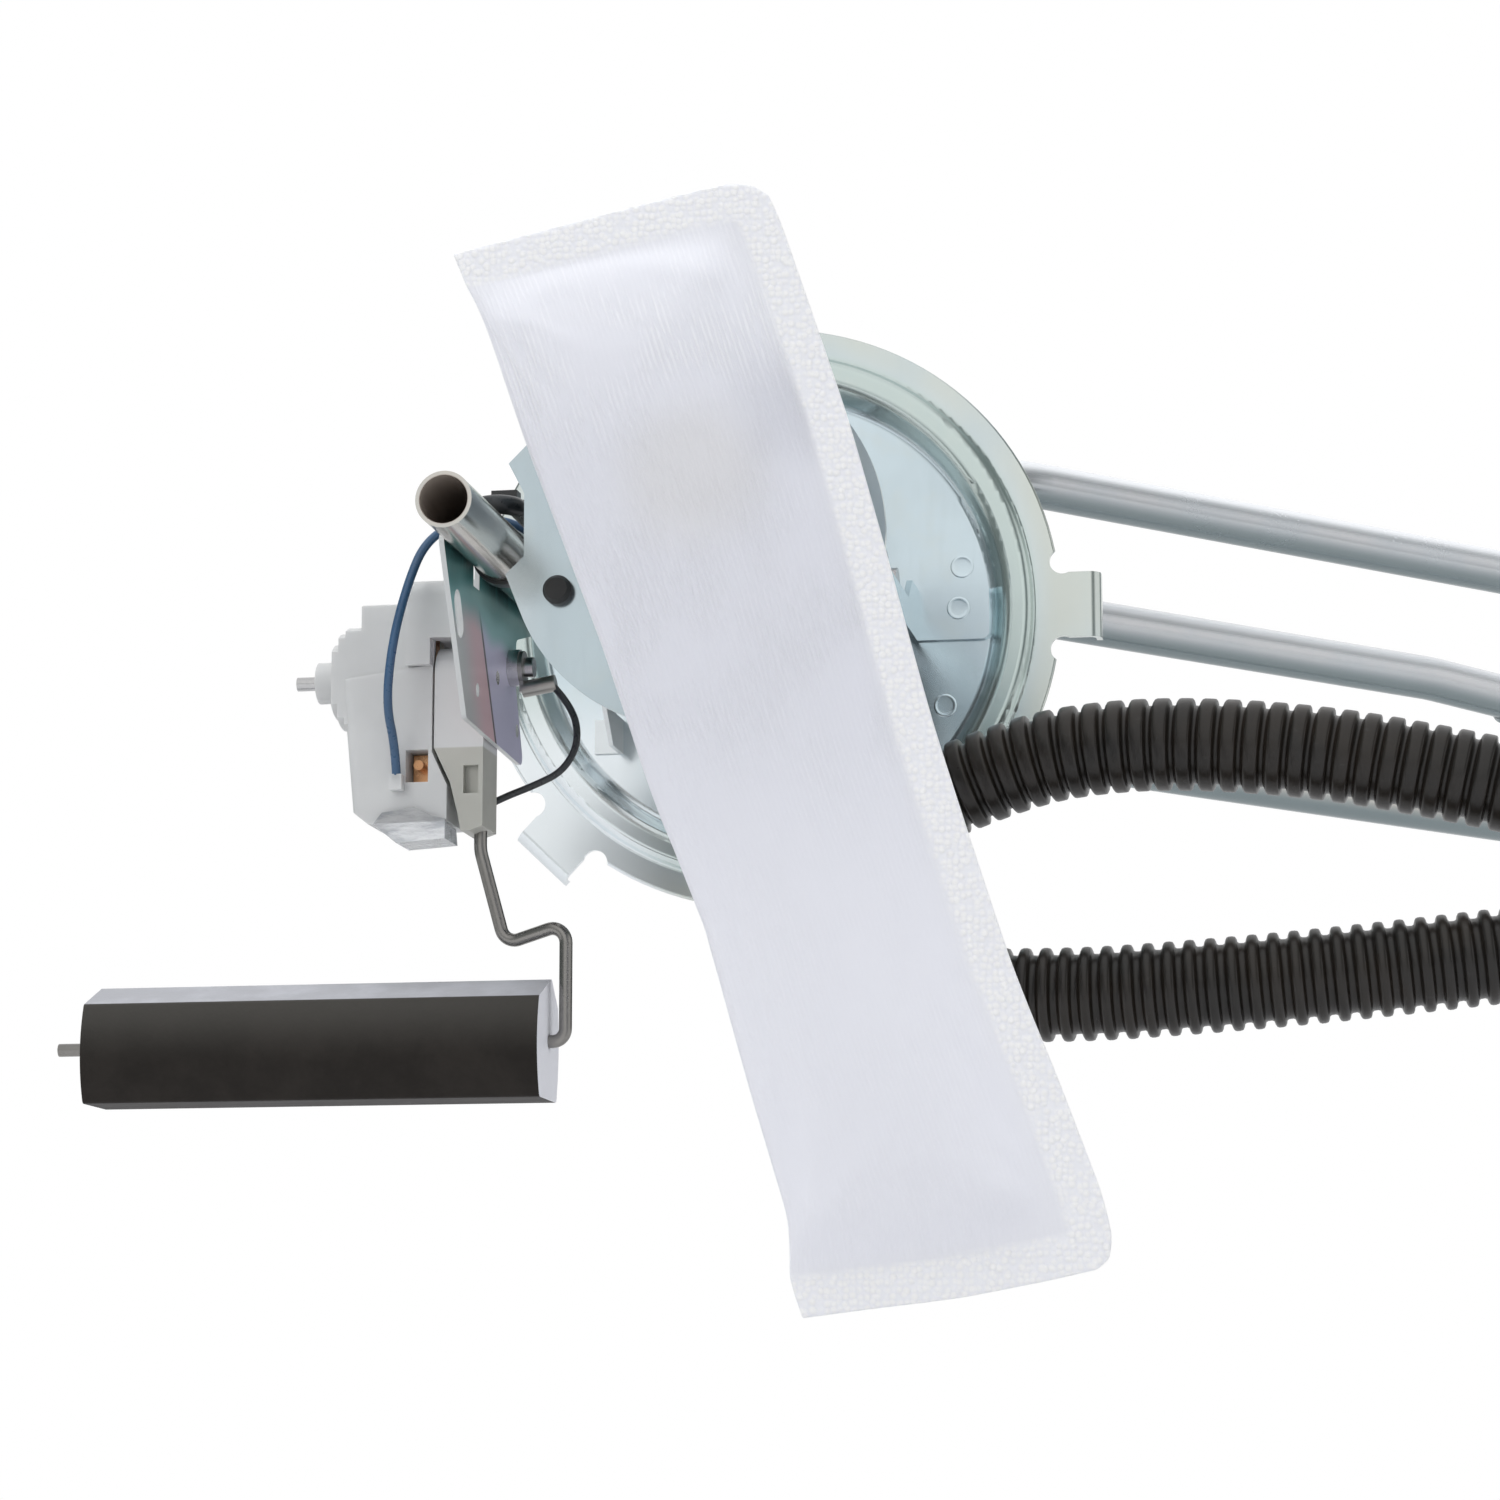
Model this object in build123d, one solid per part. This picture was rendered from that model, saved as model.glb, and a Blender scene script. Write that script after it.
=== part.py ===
from build123d import *
import math
import os

# Fuel pump module: a round locking flange carries a hanger with an electric pump, its strainer
# and a float-type level sender. Millimetres. The origin is the centre of the flange's sealing
# face; -Y points into the tank along the module's axis, +X to the right and +Z up.

# ---------------------------------------------------------------- driving dimensions
sheet = 1.2  # steel sheet of the flange, hanger and sender bracket
flange_radius = 60.0
flange_ring = 54.5  # inner edge of the flat sealing ring
bead_radius = 51.8
bead_height = 2.0
floor_radius = 47.0
floor_y = 4.0  # tank side of the recessed floor
tab_width = 13.3
tab_reach = 68.0
tab_angles = (0.0, 133.6, 226.4)
notch_radius = 2.6

tube_radius = 4.7625  # 3/8 in steel line
tube_bore = 4.06
supply_port = (14.0, -5.0)  # x, z where each line passes the floor
return_port = (-25.3, -13.8)
vent_port = (10.0, 36.0)
return_end_y = -164.2
connector_port = (-12.0, 22.0)
upper_hose_port = (8.0, -37.0)
lower_hose_port = (-8.0, -38.0)

pump_x, pump_z = 11.0, -15.0
pump_radius = 19.0
pump_top_y, pump_bottom_y = -36.0, -127.0
inlet_x, inlet_z = 15.0, -11.0
disc_radius = 32.5
disc_front_y = -134.25
disc_thickness = 1.5
knob_angles = (199.5, 319.5, 79.5)
knob_ring = 25.0

plate_x = -31.1  # sender side of the bracket plate
plate_sheet = 0.9
pivot_y, pivot_z = -105.0, -32.1
pin_radius = 1.25
arm_radius = 1.15
float_y, float_z = -105.0, -97.0
float_left, float_right = -102.5, -20.3

sock_y = -159.5
hose_radius = 8.7
upper_hose_route = [
    (26.0, -39.0, -50.6),
    (52.0, -41.0, -39.4),
    (76.0, -43.0, -36.2),
    (104.0, -44.0, -38.0),
    (130.0, -44.4, -42.6),
    (156.0, -44.0, -49.0),
]
lower_hose_route = [
    (30.0, -49.0, -83.2),
    (60.0, -50.0, -84.8),
    (92.0, -50.4, -83.3),
    (124.0, -50.0, -80.8),
    (155.0, -49.0, -77.6),
]

BASE = (Align.CENTER, Align.CENTER, Align.MIN)


# ---------------------------------------------------------------- helpers
def save(name, shape):
    """Writes one sub-part as one solid, or as a compound of its solids."""
    solids = shape.solids()
    export_step(solids[0] if len(solids) == 1 else Compound(children=list(solids)), f"parts/{name}.step")


def block(x0, x1, y0, y1, z0, z1):
    """A box between two opposite corners."""
    return Pos((x0 + x1) / 2, (y0 + y1) / 2, (z0 + z1) / 2) * Box(x1 - x0, y1 - y0, z1 - z0)


def rod(radius, start, end, bore=0.0):
    """A round bar, or a pipe, from one point to another."""
    axis = Vector(*end) - Vector(*start)
    plane = Plane(origin=start, z_dir=axis)
    solid = plane * Cylinder(radius, axis.length, align=BASE)
    if bore:
        solid -= plane * Cylinder(bore, axis.length, align=BASE)
    return solid


def along_y(radius, x, z, y0, y1, bore=0.0):
    return rod(radius, (x, y0, z), (x, y1, z), bore)


def along_x(radius, y, z, x0, x1, bore=0.0):
    return rod(radius, (x0, y, z), (x1, y, z), bore)


def turned(points, x=0.0, z=0.0):
    """A body turned about an axis along Y; the points are (radius, y)."""
    return Pos(x, 0, z) * revolve(make_face(Polyline(*points, close=True)), Axis.Y)


def pipe(points, bends, radius, bore=0.0):
    """A tube along straight runs joined by tangent bends."""
    path = FilletPolyline(*points, radius=bends)
    section = Circle(radius)
    if bore:
        section -= Circle(bore)
    return sweep(Plane(origin=path @ 0, z_dir=path % 0) * section, path=path)


def bend_radii(points):
    """The largest practical arc at each corner of a route."""
    radii = []
    for before, corner, after in zip(points, points[1:], points[2:]):
        into = Vector(*corner) - Vector(*before)
        out = Vector(*after) - Vector(*corner)
        turn = math.radians(into.get_angle(out))
        radii.append(0.45 * min(into.length, out.length) / math.tan(turn / 2))
    return radii


def plate_xz(points, y0, y1):
    """A flat plate parallel to the flange; the points are (x, z)."""
    face = Plane.XZ * make_face(Polyline(*points, close=True))
    return Pos(0, y1, 0) * extrude(face, y1 - y0)


def plate_yz(points, x0, x1):
    """A flat plate across the flange; the points are (y, z)."""
    face = Plane.YZ * make_face(Polyline(*points, close=True))
    return Pos(x0, 0, 0) * extrude(face, x1 - x0)


# ---------------------------------------------------------------- flange
def make_flange():
    """Stamped cover: flat ring, sealing bead, recessed floor, three hooked locking tabs."""
    middle = FilletPolyline(
        (2.0, floor_y + sheet / 2),
        (floor_radius, floor_y + sheet / 2),
        (49.4, -bead_height + sheet / 2 + 0.2),
        (53.2, -bead_height + sheet / 2 + 0.2),
        (flange_ring, sheet / 2),
        (flange_radius - sheet / 2, sheet / 2),
        radius=[2.5, 1.6, 1.3, 1.5],
    )
    section = make_face(offset(middle, sheet / 2, side=Side.BOTH).edges())
    cover = revolve(section, Axis.Y)
    cover += along_y(3.0, 0, 0, floor_y, floor_y + sheet)
    tab = block(flange_radius - 3, tab_reach - 2.5, 0, sheet, -tab_width / 2, tab_width / 2)
    roll = Pos(tab_reach - 2.5, 2.5, 0) * (Cylinder(2.5, tab_width) - Cylinder(2.5 - sheet, tab_width))
    roll &= block(tab_reach - 2.5, tab_reach, 0, 2.5, -tab_width / 2, tab_width / 2)
    lip = block(tab_reach - sheet, tab_reach, 2.5, 4.6, -tab_width / 2, tab_width / 2)
    hook = tab + roll + lip
    notch_z = tab_width / 2 + notch_radius - 0.3
    for angle in tab_angles:
        turn = Rot(0, -angle, 0)
        cover += turn * hook
        for side in (-1, 1):
            cover -= turn * along_y(notch_radius, flange_radius + 0.4, side * notch_z, -1, 3)
    for x, z, radius in port_holes:
        cover -= along_y(radius, x, z, floor_y - 1, floor_y + sheet + 1)
    return cover


port_holes = [
    (*supply_port, tube_radius + 0.02),
    (*return_port, tube_radius + 0.02),
    (*vent_port, tube_radius + 0.02),
    (*connector_port, 8.5),
    (*upper_hose_port, 5.0),
    (*lower_hose_port, 5.0),
]


# ---------------------------------------------------------------- hanger and pump support
def make_strut():
    """Channel-shaped leg welded to the floor by one foot and to the pump support by the other."""
    low, high = -5.8, 5.2
    end_y = disc_front_y + disc_thickness
    side = [
        (floor_y, low),
        (floor_y, high),
        (-4.0, high),
        (-10.0, 0.5),
        (-42.0, 0.5),
        (-50.0, high),
        (end_y, high),
        (end_y, low),
    ]
    web = plate_yz(side, 29.4, 30.6)
    lips = block(29.4, 32.4, -126, -70, low, low + sheet) + block(29.4, 32.4, -126, -70, high - sheet, high)
    foot = block(30.6, 45.2, floor_y - sheet, floor_y, low, high)
    toe = block(30.6, 36, end_y, end_y + sheet, low, high)
    strut = web + lips + foot + toe
    strut = fillet(strut.edges().filter_by(Axis.Y).filter_by(lambda e: e.length < 1.3 and e.center().X > 34), 1.5)
    return strut


def make_disc():
    """Round plate under the pump with a relief for the return line."""
    rim = along_y(disc_radius, pump_x, pump_z, disc_front_y, disc_front_y + disc_thickness)
    ear = plate_xz(
        [(-22.0, -20.0), (-18.8, -17.0), (-18.8, -6.0), (-21.6, -0.6), (-14.0, 7.0), (0, 8), (0, -30), (-19.0, -27.5)],
        disc_front_y,
        disc_front_y + disc_thickness,
    )
    relief = plate_xz(
        [(-18.8, -17.0), (-18.8, -6.0), (-21.6, -0.6), (-30, 1), (-30, -21), (-22.0, -20.0)],
        disc_front_y - 1,
        disc_front_y + disc_thickness + 1,
    )
    disc = rim + ear - relief
    disc -= along_y(7.5, inlet_x, inlet_z, -140, -130)
    for x, z in knob_places():
        disc -= along_y(2.05, x, z, -140, -130)
    return disc


def knob_places():
    return [
        (pump_x + knob_ring * math.cos(math.radians(a)), pump_z + knob_ring * math.sin(math.radians(a)))
        for a in knob_angles
    ]


def make_isolator():
    """Rubber foot under the pump, with three knobs pulled through the support."""
    top = disc_front_y + disc_thickness
    pad = along_y(20.2, pump_x, pump_z, top, pump_bottom_y)
    pad += along_y(20.2, pump_x, pump_z, pump_bottom_y, pump_bottom_y + 6, pump_radius + 0.02)
    for x, z in knob_places():
        pad += along_y(3.6, x, z, top, top + 3)
        mid = ((x + pump_x) / 2, (z + pump_z) / 2)
        length = knob_ring
        web = Pos(mid[0], top + 1.5, mid[1]) * Rot(0, -math.degrees(math.atan2(z - pump_z, x - pump_x)), 0)
        pad += web * Box(length, 3, 7.2)
        pad += along_y(2.0, x, z, disc_front_y - 0.2, top)
        pad += along_y(2.5, x, z, disc_front_y - 1.6, disc_front_y)
        pad += turned([(0, 0), (2.5, 0), (1.9, -1.0), (0, -1.0)], x, z).moved(Location((0, disc_front_y - 1.6, 0)))
    pad -= along_y(7.5, inlet_x, inlet_z, -140, pump_bottom_y)
    return pad


# ---------------------------------------------------------------- steel lines
supply_path = [
    (14, -14, -5),
    (14, 14, -5),
    (46, 33.2, 6.6),
    (132, 95.0, 0.7),
    (155, 111.6, -2.9),
]
return_path = [
    (-25.3, return_end_y, -13.8),
    (-25.3, 18, -13.8),
    (42, 27, -23),
    (79.5, 55.7, -25.4),
    (160, 124.2, -29.1),
]
vent_path = [
    (10, -2, 36),
    (10, 15, 36),
    (50, 33.5, 33.4),
    (160, 111.4, 24.9),
]


def make_line(points, bends, port, collar):
    """Steel line with an upset bead near its outer end and a collar brazed on at the flange."""
    line = pipe(points, bends, tube_radius, tube_bore)
    tip = Vector(*points[-1])
    back = (Vector(*points[-2]) - tip).normalized()
    bead = rod(tube_radius + 1.0, tuple(tip + back * 6), tuple(tip + back * 8.4), tube_bore)
    bead = chamfer(bead.edges().filter_by(GeomType.CIRCLE).group_by(SortBy.RADIUS)[-1], 0.7)
    x, z = port
    ring = along_y(collar, x, z, floor_y - 2.2, floor_y, tube_bore + 0.1)
    ring = chamfer(ring.edges().group_by(Axis.Y)[0].sort_by(SortBy.RADIUS)[-1:], 0.4)
    return line + bead + ring


# ---------------------------------------------------------------- pump
def make_can():
    """Drawn steel can, rolled over the two end caps."""
    wall = 1.2
    inner = pump_radius - wall
    return turned(
        [
            (inner, pump_bottom_y),
            (pump_radius - 0.6, pump_bottom_y),
            (pump_radius, pump_bottom_y + 0.8),
            (pump_radius, pump_top_y - 0.8),
            (pump_radius - 0.8, pump_top_y),
            (inner - 1.4, pump_top_y),
            (inner - 1.4, pump_top_y - 0.9),
            (inner, pump_top_y - 0.9),
        ],
        pump_x,
        pump_z,
    )


def make_outlet_cap():
    """Plastic cap with the outlet nipple, the check valve seat and the brush holders."""
    inner = pump_radius - 1.2
    cap = along_y(inner, pump_x, pump_z, pump_top_y - 0.9, -46)
    cap += along_y(inner - 1.4, pump_x, pump_z, -33.5, pump_top_y - 0.9)
    cap += along_y(inner, pump_x, pump_z, -46, -60, inner - 2.0)
    ox, oz = supply_port
    cap += along_y(tube_radius, ox, oz, -33.5, -18)
    for y in (-20.5, -23.5, -26.5):
        cap += turned([(4, y - 1.6), (tube_radius, y - 1.6), (tube_radius + 0.02, y), (4, y)], ox, oz)
    cap -= along_y(2.9, ox, oz, -33.5, -23.0)
    cap -= along_y(1.5, ox, oz, -48, -17)
    cap -= along_y(1.7, ox, oz, -26.4, -22)
    cap -= along_y(3.52, pump_x, pump_z, -41.5, -47)
    cap -= along_y(1.75, pump_x, pump_z, -39.5, -42)
    for side in (-1, 1):
        x = pump_x + side * 9.5
        cap -= along_y(0.82, x, pump_z - 5, -30, -47)
    return cap


def make_inlet_cover():
    """Cast cover that closes the pump chamber, with the offset inlet nipple."""
    inner = pump_radius - 1.2
    cover = along_y(inner, pump_x, pump_z, -116.3, pump_bottom_y)
    cover += along_y(6.0, inlet_x, inlet_z, -125, -150)
    cover -= along_y(4.2, inlet_x, inlet_z, -115, -151)
    cover -= along_y(1.9, pump_x, pump_z, -115, -119)
    return cover


def make_impeller():
    """Vane wheel keyed on the shaft."""
    wheel = along_y(14.0, pump_x, pump_z, -113.35, -116.15)
    wheel -= along_y(1.55, pump_x, pump_z, -113, -117)
    slot = Pos(pump_x, -114.75, pump_z)
    cuts = [slot * Rot(0, k * 15, 0) * Pos(13.1, 0, 0) * Box(2.4, 4, 1.5) for k in range(24)]
    return wheel - cuts


def make_armature():
    """Shaft, lamination stack, windings and commutator."""
    stack = along_y(11.6, pump_x, pump_z, -70, -98)
    slot = Pos(pump_x, -84, pump_z)
    stack -= [slot * Rot(0, k * 45, 0) * Pos(11, 0, 0) * Box(3, 40, 1.6) for k in range(8)]
    winding = along_y(9.2, pump_x, pump_z, -64, -104)
    commutator = along_y(6.0, pump_x, pump_z, -54, -62)
    shaft = along_y(1.55, pump_x, pump_z, -41.7, -118)
    return stack + winding + commutator + shaft


def make_magnet(side):
    """Curved ceramic magnet; one each side of the armature."""
    shell = along_y(pump_radius - 1.22, pump_x, pump_z, -66, -102, 12.2)
    keep = block(pump_x - 20 if side < 0 else pump_x + 2.5, pump_x - 2.5 if side < 0 else pump_x + 20, -110, -60, -40, 10)
    return shell & keep


def make_spring(radius, wire, pitch, length):
    """Helical spring along Z from the origin."""
    path = Helix(pitch, length, radius)
    return sweep(Plane(origin=path @ 0, z_dir=path % 0) * Circle(wire), path=path)


# ---------------------------------------------------------------- strainer
sock_corners = [(-23.6, 28.1), (29.1, 37.8), (82.7, -140.6), (33.0, -147.0)]


def inset(points, distance):
    """Moves each side of a four-sided outline inwards."""
    face = make_face(Polyline(*points, close=True))
    wire = offset(face, -distance, kind=Kind.INTERSECTION)
    return [(v.X, v.Y) for v in wire.face().outer_wire().vertices()]


def sock_slab(distance, y0, y1):
    face = make_face(Polyline(*sock_corners, close=True))
    if distance:
        face = offset(face, -distance, kind=Kind.INTERSECTION)
    return Pos(0, y1, 0) * extrude(Plane.XZ * face, y1 - y0)


def make_sock():
    """Woven bag: a welded seam round a filled-out body that is open inside."""
    seam = sock_slab(0, sock_y - 0.6, sock_y + 0.6)
    body = sock_slab(6.5, sock_y - 6.0, sock_y + 6.0)
    body = fillet(body.edges().filter_by(Axis.Y), 8)
    front = body.faces().sort_by(Axis.Y)[0].edges() + body.faces().sort_by(Axis.Y)[-1].edges()
    body = fillet(front, 4.0)
    room = sock_slab(9.0, sock_y - 4.8, sock_y + 4.8)
    sock = seam + body - room
    sock -= along_y(9.02, inlet_x, inlet_z, sock_y, sock_y + 8)
    return sock


def make_strainer_frame():
    """Ribbed nylon spacer that keeps the two faces of the sock apart."""
    top, bottom = (11.5, 18.0), (54.0, -128.0)
    run = math.degrees(math.atan2(bottom[1] - top[1], bottom[0] - top[0]))
    length = math.dist(top, bottom)
    place = Pos((top[0] + bottom[0]) / 2, sock_y + 2.2, (top[1] + bottom[1]) / 2) * Rot(0, -run, 0)
    frame = place * Box(length, 1.6, 18)
    for k in range(9):
        frame += place * Pos(-length / 2 + 6 + k * (length - 12) / 8, -2.8, 0) * Box(1.6, 4.0, 18)
    for k in range(8):
        frame -= place * Pos(-length / 2 + 6 + (k + 0.5) * (length - 12) / 8, 0, 0) * Box(11, 5, 12)
    frame += along_y(11.0, inlet_x, inlet_z, sock_y + 1.4, sock_y + 3.0)
    frame -= along_y(4.5, inlet_x, inlet_z, sock_y - 6, sock_y + 6)
    return frame


# ---------------------------------------------------------------- level sender
def make_bracket():
    """Plate that carries the level sender, with its strap and foot on the flange floor."""
    outline = [
        (-144.5, -16.2),
        (-127.4, -43.4),
        (-84.7, -44.8),
        (-91.2, -31.0),
        (-91.2, -22.5),
        (-72.0, -17.5),
        (-16.0, -17.5),
        (-6.0, -27.0),
        (floor_y - plate_sheet, -27.0),
        (floor_y - plate_sheet, -20.0),
        (-3.0, -20.0),
        (-13.0, -9.0),
        (-142.0, -9.0),
    ]
    plate = plate_yz(outline, plate_x, plate_x + plate_sheet)
    plate = fillet(plate.edges().filter_by(Axis.X).filter_by(lambda e: e.center().Y < -65), 1.5)
    plate += block(-36.0, plate_x + plate_sheet, floor_y - plate_sheet, floor_y, -27.0, -20.0)
    plate -= block(plate_x - 1, plate_x + 3, -123.6, -119.4, -19.4, -5)
    for y, z, radius in ((-95.5, -28.5, 1.85), (-119.7, -37.1, 1.2), (-89.8, -39.0, 1.2)):
        plate -= along_x(radius, y, z, plate_x - 1, plate_x + 3)
    slot = Plane.YZ * SlotOverall(8.5, 4.6, rotation=-60)
    plate -= Pos(plate_x - 1, -133.6, -26.4) * extrude(slot, 4)
    plate -= along_x(pin_radius + 0.02, pivot_y, pivot_z, plate_x - 1, plate_x + 3)
    return plate


body_front = -110.5


def sender_recess(radius, x0, x1):
    """Round pocket for the resistor card, closed by the front wall of the housing."""
    return along_x(radius, pivot_y, pivot_z, x0, x1) - block(x0 - 1, x1 + 1, -125, body_front + 1.8, -50, -10)


def make_sender_body():
    """Moulded housing: stepped boss round the pivot, lower box and the pad on the bracket."""
    body = along_x(13.7, pivot_y, pivot_z, -54, -40.7)
    for radius, x0, x1 in ((9.7, -56.9, -54), (8.7, -58.2, -56.9), (6.8, -59.4, -58.2), (3.7, -62.8, -59.4)):
        body += along_x(radius, pivot_y, pivot_z, x0, x1)
    body -= block(-60, -40, -125, body_front + 0.6, -50, -10)
    lower = plate_xz(
        [
            (-57.5, -32.6),
            (-40.7, -30.4),
            (-40.7, -46.0),
            (-37.9, -52.0),
            (-37.9, -58.4),
            (-52.0, -58.7),
            (-55.2, -56.2),
        ],
        body_front,
        -97,
    )
    lower = fillet(lower.edges().filter_by(lambda e: e.center().X < -55.9 and e.length > 15), 2.0)
    body += lower
    pad = block(-45.7, plate_x, body_front, -94, -25.6, -15)
    pad = fillet(pad.edges().filter_by(Axis.X), 1.5)
    cheek = block(-45.3, -40.9, body_front - 1.5, -98, -30.6, -15.2)
    cheek += block(-41.5, -33.0, body_front - 1.5, -98, -25.8, -15.2)
    body += pad + fillet(cheek.edges().filter_by(Axis.X).filter_by(lambda e: e.center().Z > -20), 3.0)
    body -= sender_recess(11.0, -42.9, -40)
    body -= along_x(pin_radius + 0.02, pivot_y, pivot_z, -63, -40)
    body -= block(-45.4, -41.3, -111, -102.5, -51.4, -45.6)
    body += along_x(2.4, pivot_y, pivot_z, -43.2, -42.2, ) - along_x(pin_radius + 0.02, pivot_y, pivot_z, -44, -42)
    return body


hub_x0, hub_x1 = -40.3, -31.4


def make_arm_hub():
    """Moulded hub that turns on the pin and grips the float arm."""
    hub = along_x(5.5, pivot_y, pivot_z, hub_x0, hub_x1)
    hub += plate_xz(
        [
            (hub_x0, pivot_z),
            (hub_x1, pivot_z),
            (hub_x1, -59.4),
            (-33.8, -60.2),
            (-35.3, -60.2),
            (-35.9, -57.0),
            (-37.3, -51.6),
            (hub_x0, -45.3),
        ],
        pivot_y - 5.5,
        pivot_y + 5.0,
    )
    hub -= block(-34.9, -32.2, -111, -108.8, -53.6, -48.6)
    hub -= along_x(pin_radius + 0.06, pivot_y, pivot_z, -41, -31)
    hub -= pipe(arm_path, arm_bends, arm_radius + 0.005)
    return hub


arm_path = [
    (-33.0, -105, -42),
    (-33.0, -105, -63),
    (-28.6, -104, -79.6),
    (-17.2, -106, -76.4),
    (-17.4, -105, float_z),
    (-109.6, -105, float_z),
]
arm_bends = [8.0, 2.6, 2.6, 2.2]


def make_float():
    """Closed-cell float with a domed front and a slanting flat on top."""
    outline = make_face(
        [
            ThreePointArc((-7.2, -10.2), (-9.4, -1.0), (-8.0, 7.2)),
            Line((-8.0, 7.2), (1.6, 11.2)),
            Line((1.6, 11.2), (6.8, 6.5)),
            ThreePointArc((6.8, 6.5), (7.6, -1.0), (6.0, -10.2)),
            Line((6.0, -10.2), (-7.2, -10.2)),
        ]
    )
    body = extrude(Plane.YZ * outline, float_right - float_left)
    body = fillet(body.edges().filter_by(Axis.X), 0.9)
    body = Pos(float_left, float_y, float_z) * body
    return body - along_x(arm_radius + 0.09, float_y, float_z, float_left - 1, float_right + 1)


# ---------------------------------------------------------------- wiring
def make_connector():
    """Bulkhead plug for four blades, sealed in the flange floor."""
    x, z = connector_port
    body = along_y(8.4, x, z, -3, 22)
    body += along_y(10.6, x, z, floor_y + sheet + 1.5, floor_y + sheet + 4.0)
    body += along_y(9.6, x, z, floor_y - 1.6, floor_y)
    body -= along_y(7.0, x, z, 12, 23)
    for px, pz in pin_places():
        body -= along_y(0.8, px, pz, -4, 13)
    body += Pos(x, 18, z + 8.6) * Box(4, 6, 2)
    return body


def pin_places():
    x, z = connector_port
    return [(x + dx, z + dz) for dx, dz in ((-2.8, 2.8), (2.8, 2.8), (-2.8, -2.8), (2.8, -2.8))]


def make_stud():
    """Ground stud riveted in the bracket, with its nut."""
    y, z = -95.5, -28.5
    return along_x(2.5, y, z, -32.4, plate_x) + along_x(1.83, y, z, plate_x, -25.8) + along_x(3.3, y, z, -30.2, -28.2)


def make_ring_terminal():
    y, z = -95.5, -28.5
    ring = along_x(3.0, y, z, -28.2, -27.5, 1.86)
    ring += block(-28.2, -27.5, y - 1.4, y + 1.4, z - 4.6, z - 2.6)
    ring += rod(1.5, (-27.9, y, z - 4.0), (-21.8, y, z - 3.0))
    return ring


def make_tie():
    """Toothed strap round the return line and the slack loop of the pump lead."""
    places = ((*return_port, tube_radius + 0.04), (-28.4, -6.6, 1.74), (-21.8, -6.6, 1.74))
    circles = [Pos(x, z) * Circle(r) for x, z, r in places]
    inner = make_hull(Sketch(children=circles).edges())
    outer = Pos(0, -119.9, 0) * extrude(Plane.XZ * make_face(offset(inner, 0.6).edges()), 3.0)
    band = outer - Pos(0, -119, 0) * extrude(Plane.XZ * inner, 5.0)
    return band + block(-27.4, -22.8, -122.9, -119.9, -4.4, -2.4)


def make_clamp(y0, y1):
    """Worm-drive band round the outlet hose."""
    x, z = supply_port
    band = along_y(7.75, x, z, y0, y1, 7.02)
    mid = (y0 + y1) / 2
    band += block(x + 3.2, x + 12.2, mid - 2.6, mid + 2.6, z + 5.6, z + 10.4) - along_y(7.4, x, z, y0 - 1, y1 + 1)
    band += rod(3.1, (x + 12.2, mid, z + 8.2), (x + 14.6, mid, z + 8.2))
    return band


# ---------------------------------------------------------------- everything
os.makedirs("parts", exist_ok=True)

save("flange", make_flange())
save("hanger_strut", make_strut())
save("pump_support", make_disc())
save("pump_isolator", make_isolator())
save("sender_bracket", make_bracket())

save("supply_line", make_line(supply_path, [12, 40, 60], supply_port, 6.6))
save("return_line", make_line(return_path, [12, 20, 60], return_port, 5.4))
save("vent_line", make_line(vent_path, [12, 40], vent_port, 6.6))

save("pump_can", make_can())
save("pump_outlet_cap", make_outlet_cap())
save("pump_inlet_cover", make_inlet_cover())
mid_plate = along_y(pump_radius - 1.2, pump_x, pump_z, -106, -113.2) + along_y(
    pump_radius - 1.2, pump_x, pump_z, -113.2, -116.3, 14.6
)
save("pump_mid_plate", mid_plate - along_y(3.5, pump_x, pump_z, -105, -114))
save("pump_impeller", make_impeller())
save("pump_armature", make_armature())
save("magnet_left", make_magnet(-1))
save("magnet_right", make_magnet(1))
save("bearing_upper", along_y(3.5, pump_x, pump_z, -42, -46.8, 1.6))
save("bearing_lower", along_y(3.48, pump_x, pump_z, -106.2, -113.0, 1.6))
for name, side in (("left", -1), ("right", 1)):
    inner, outer = pump_x + side * 6.08, pump_x + side * 11.5
    save(f"brush_{name}", block(min(inner, outer), max(inner, outer), -60, -56, pump_z - 2.2, pump_z + 2.2))
    coil = make_spring(1.4, 0.22, 0.95, 3.8)
    coil = Pos(outer + side * 0.25, -58, pump_z) * Rot(0, 90 * side, 0) * coil
    save(f"brush_spring_{name}", coil)
    x = pump_x + side * 9.5
    terminal = along_y(0.8, x, pump_z - 5, -29.5, -46)
    save(f"pump_terminal_{name}", terminal)
save("check_ball", Pos(supply_port[0], -31.6, supply_port[1]) * Sphere(2.3))

x, z = supply_port
save("outlet_hose", along_y(7.0, x, z, -31.5, -6.5, tube_radius + 0.04))
save("hose_clamp_line", make_clamp(-14, -8))
save("hose_clamp_pump", make_clamp(-29.5, -23.5))

save("strainer_sock", make_sock())
save("strainer_frame", make_strainer_frame())
hub = along_y(9.0, inlet_x, inlet_z, -137.5, sock_y + 3.0, 6.02)
save("strainer_hub", hub)
save("strainer_ring", along_y(10.2, inlet_x, inlet_z, -136.9, -136.4, 6.0))

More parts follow.
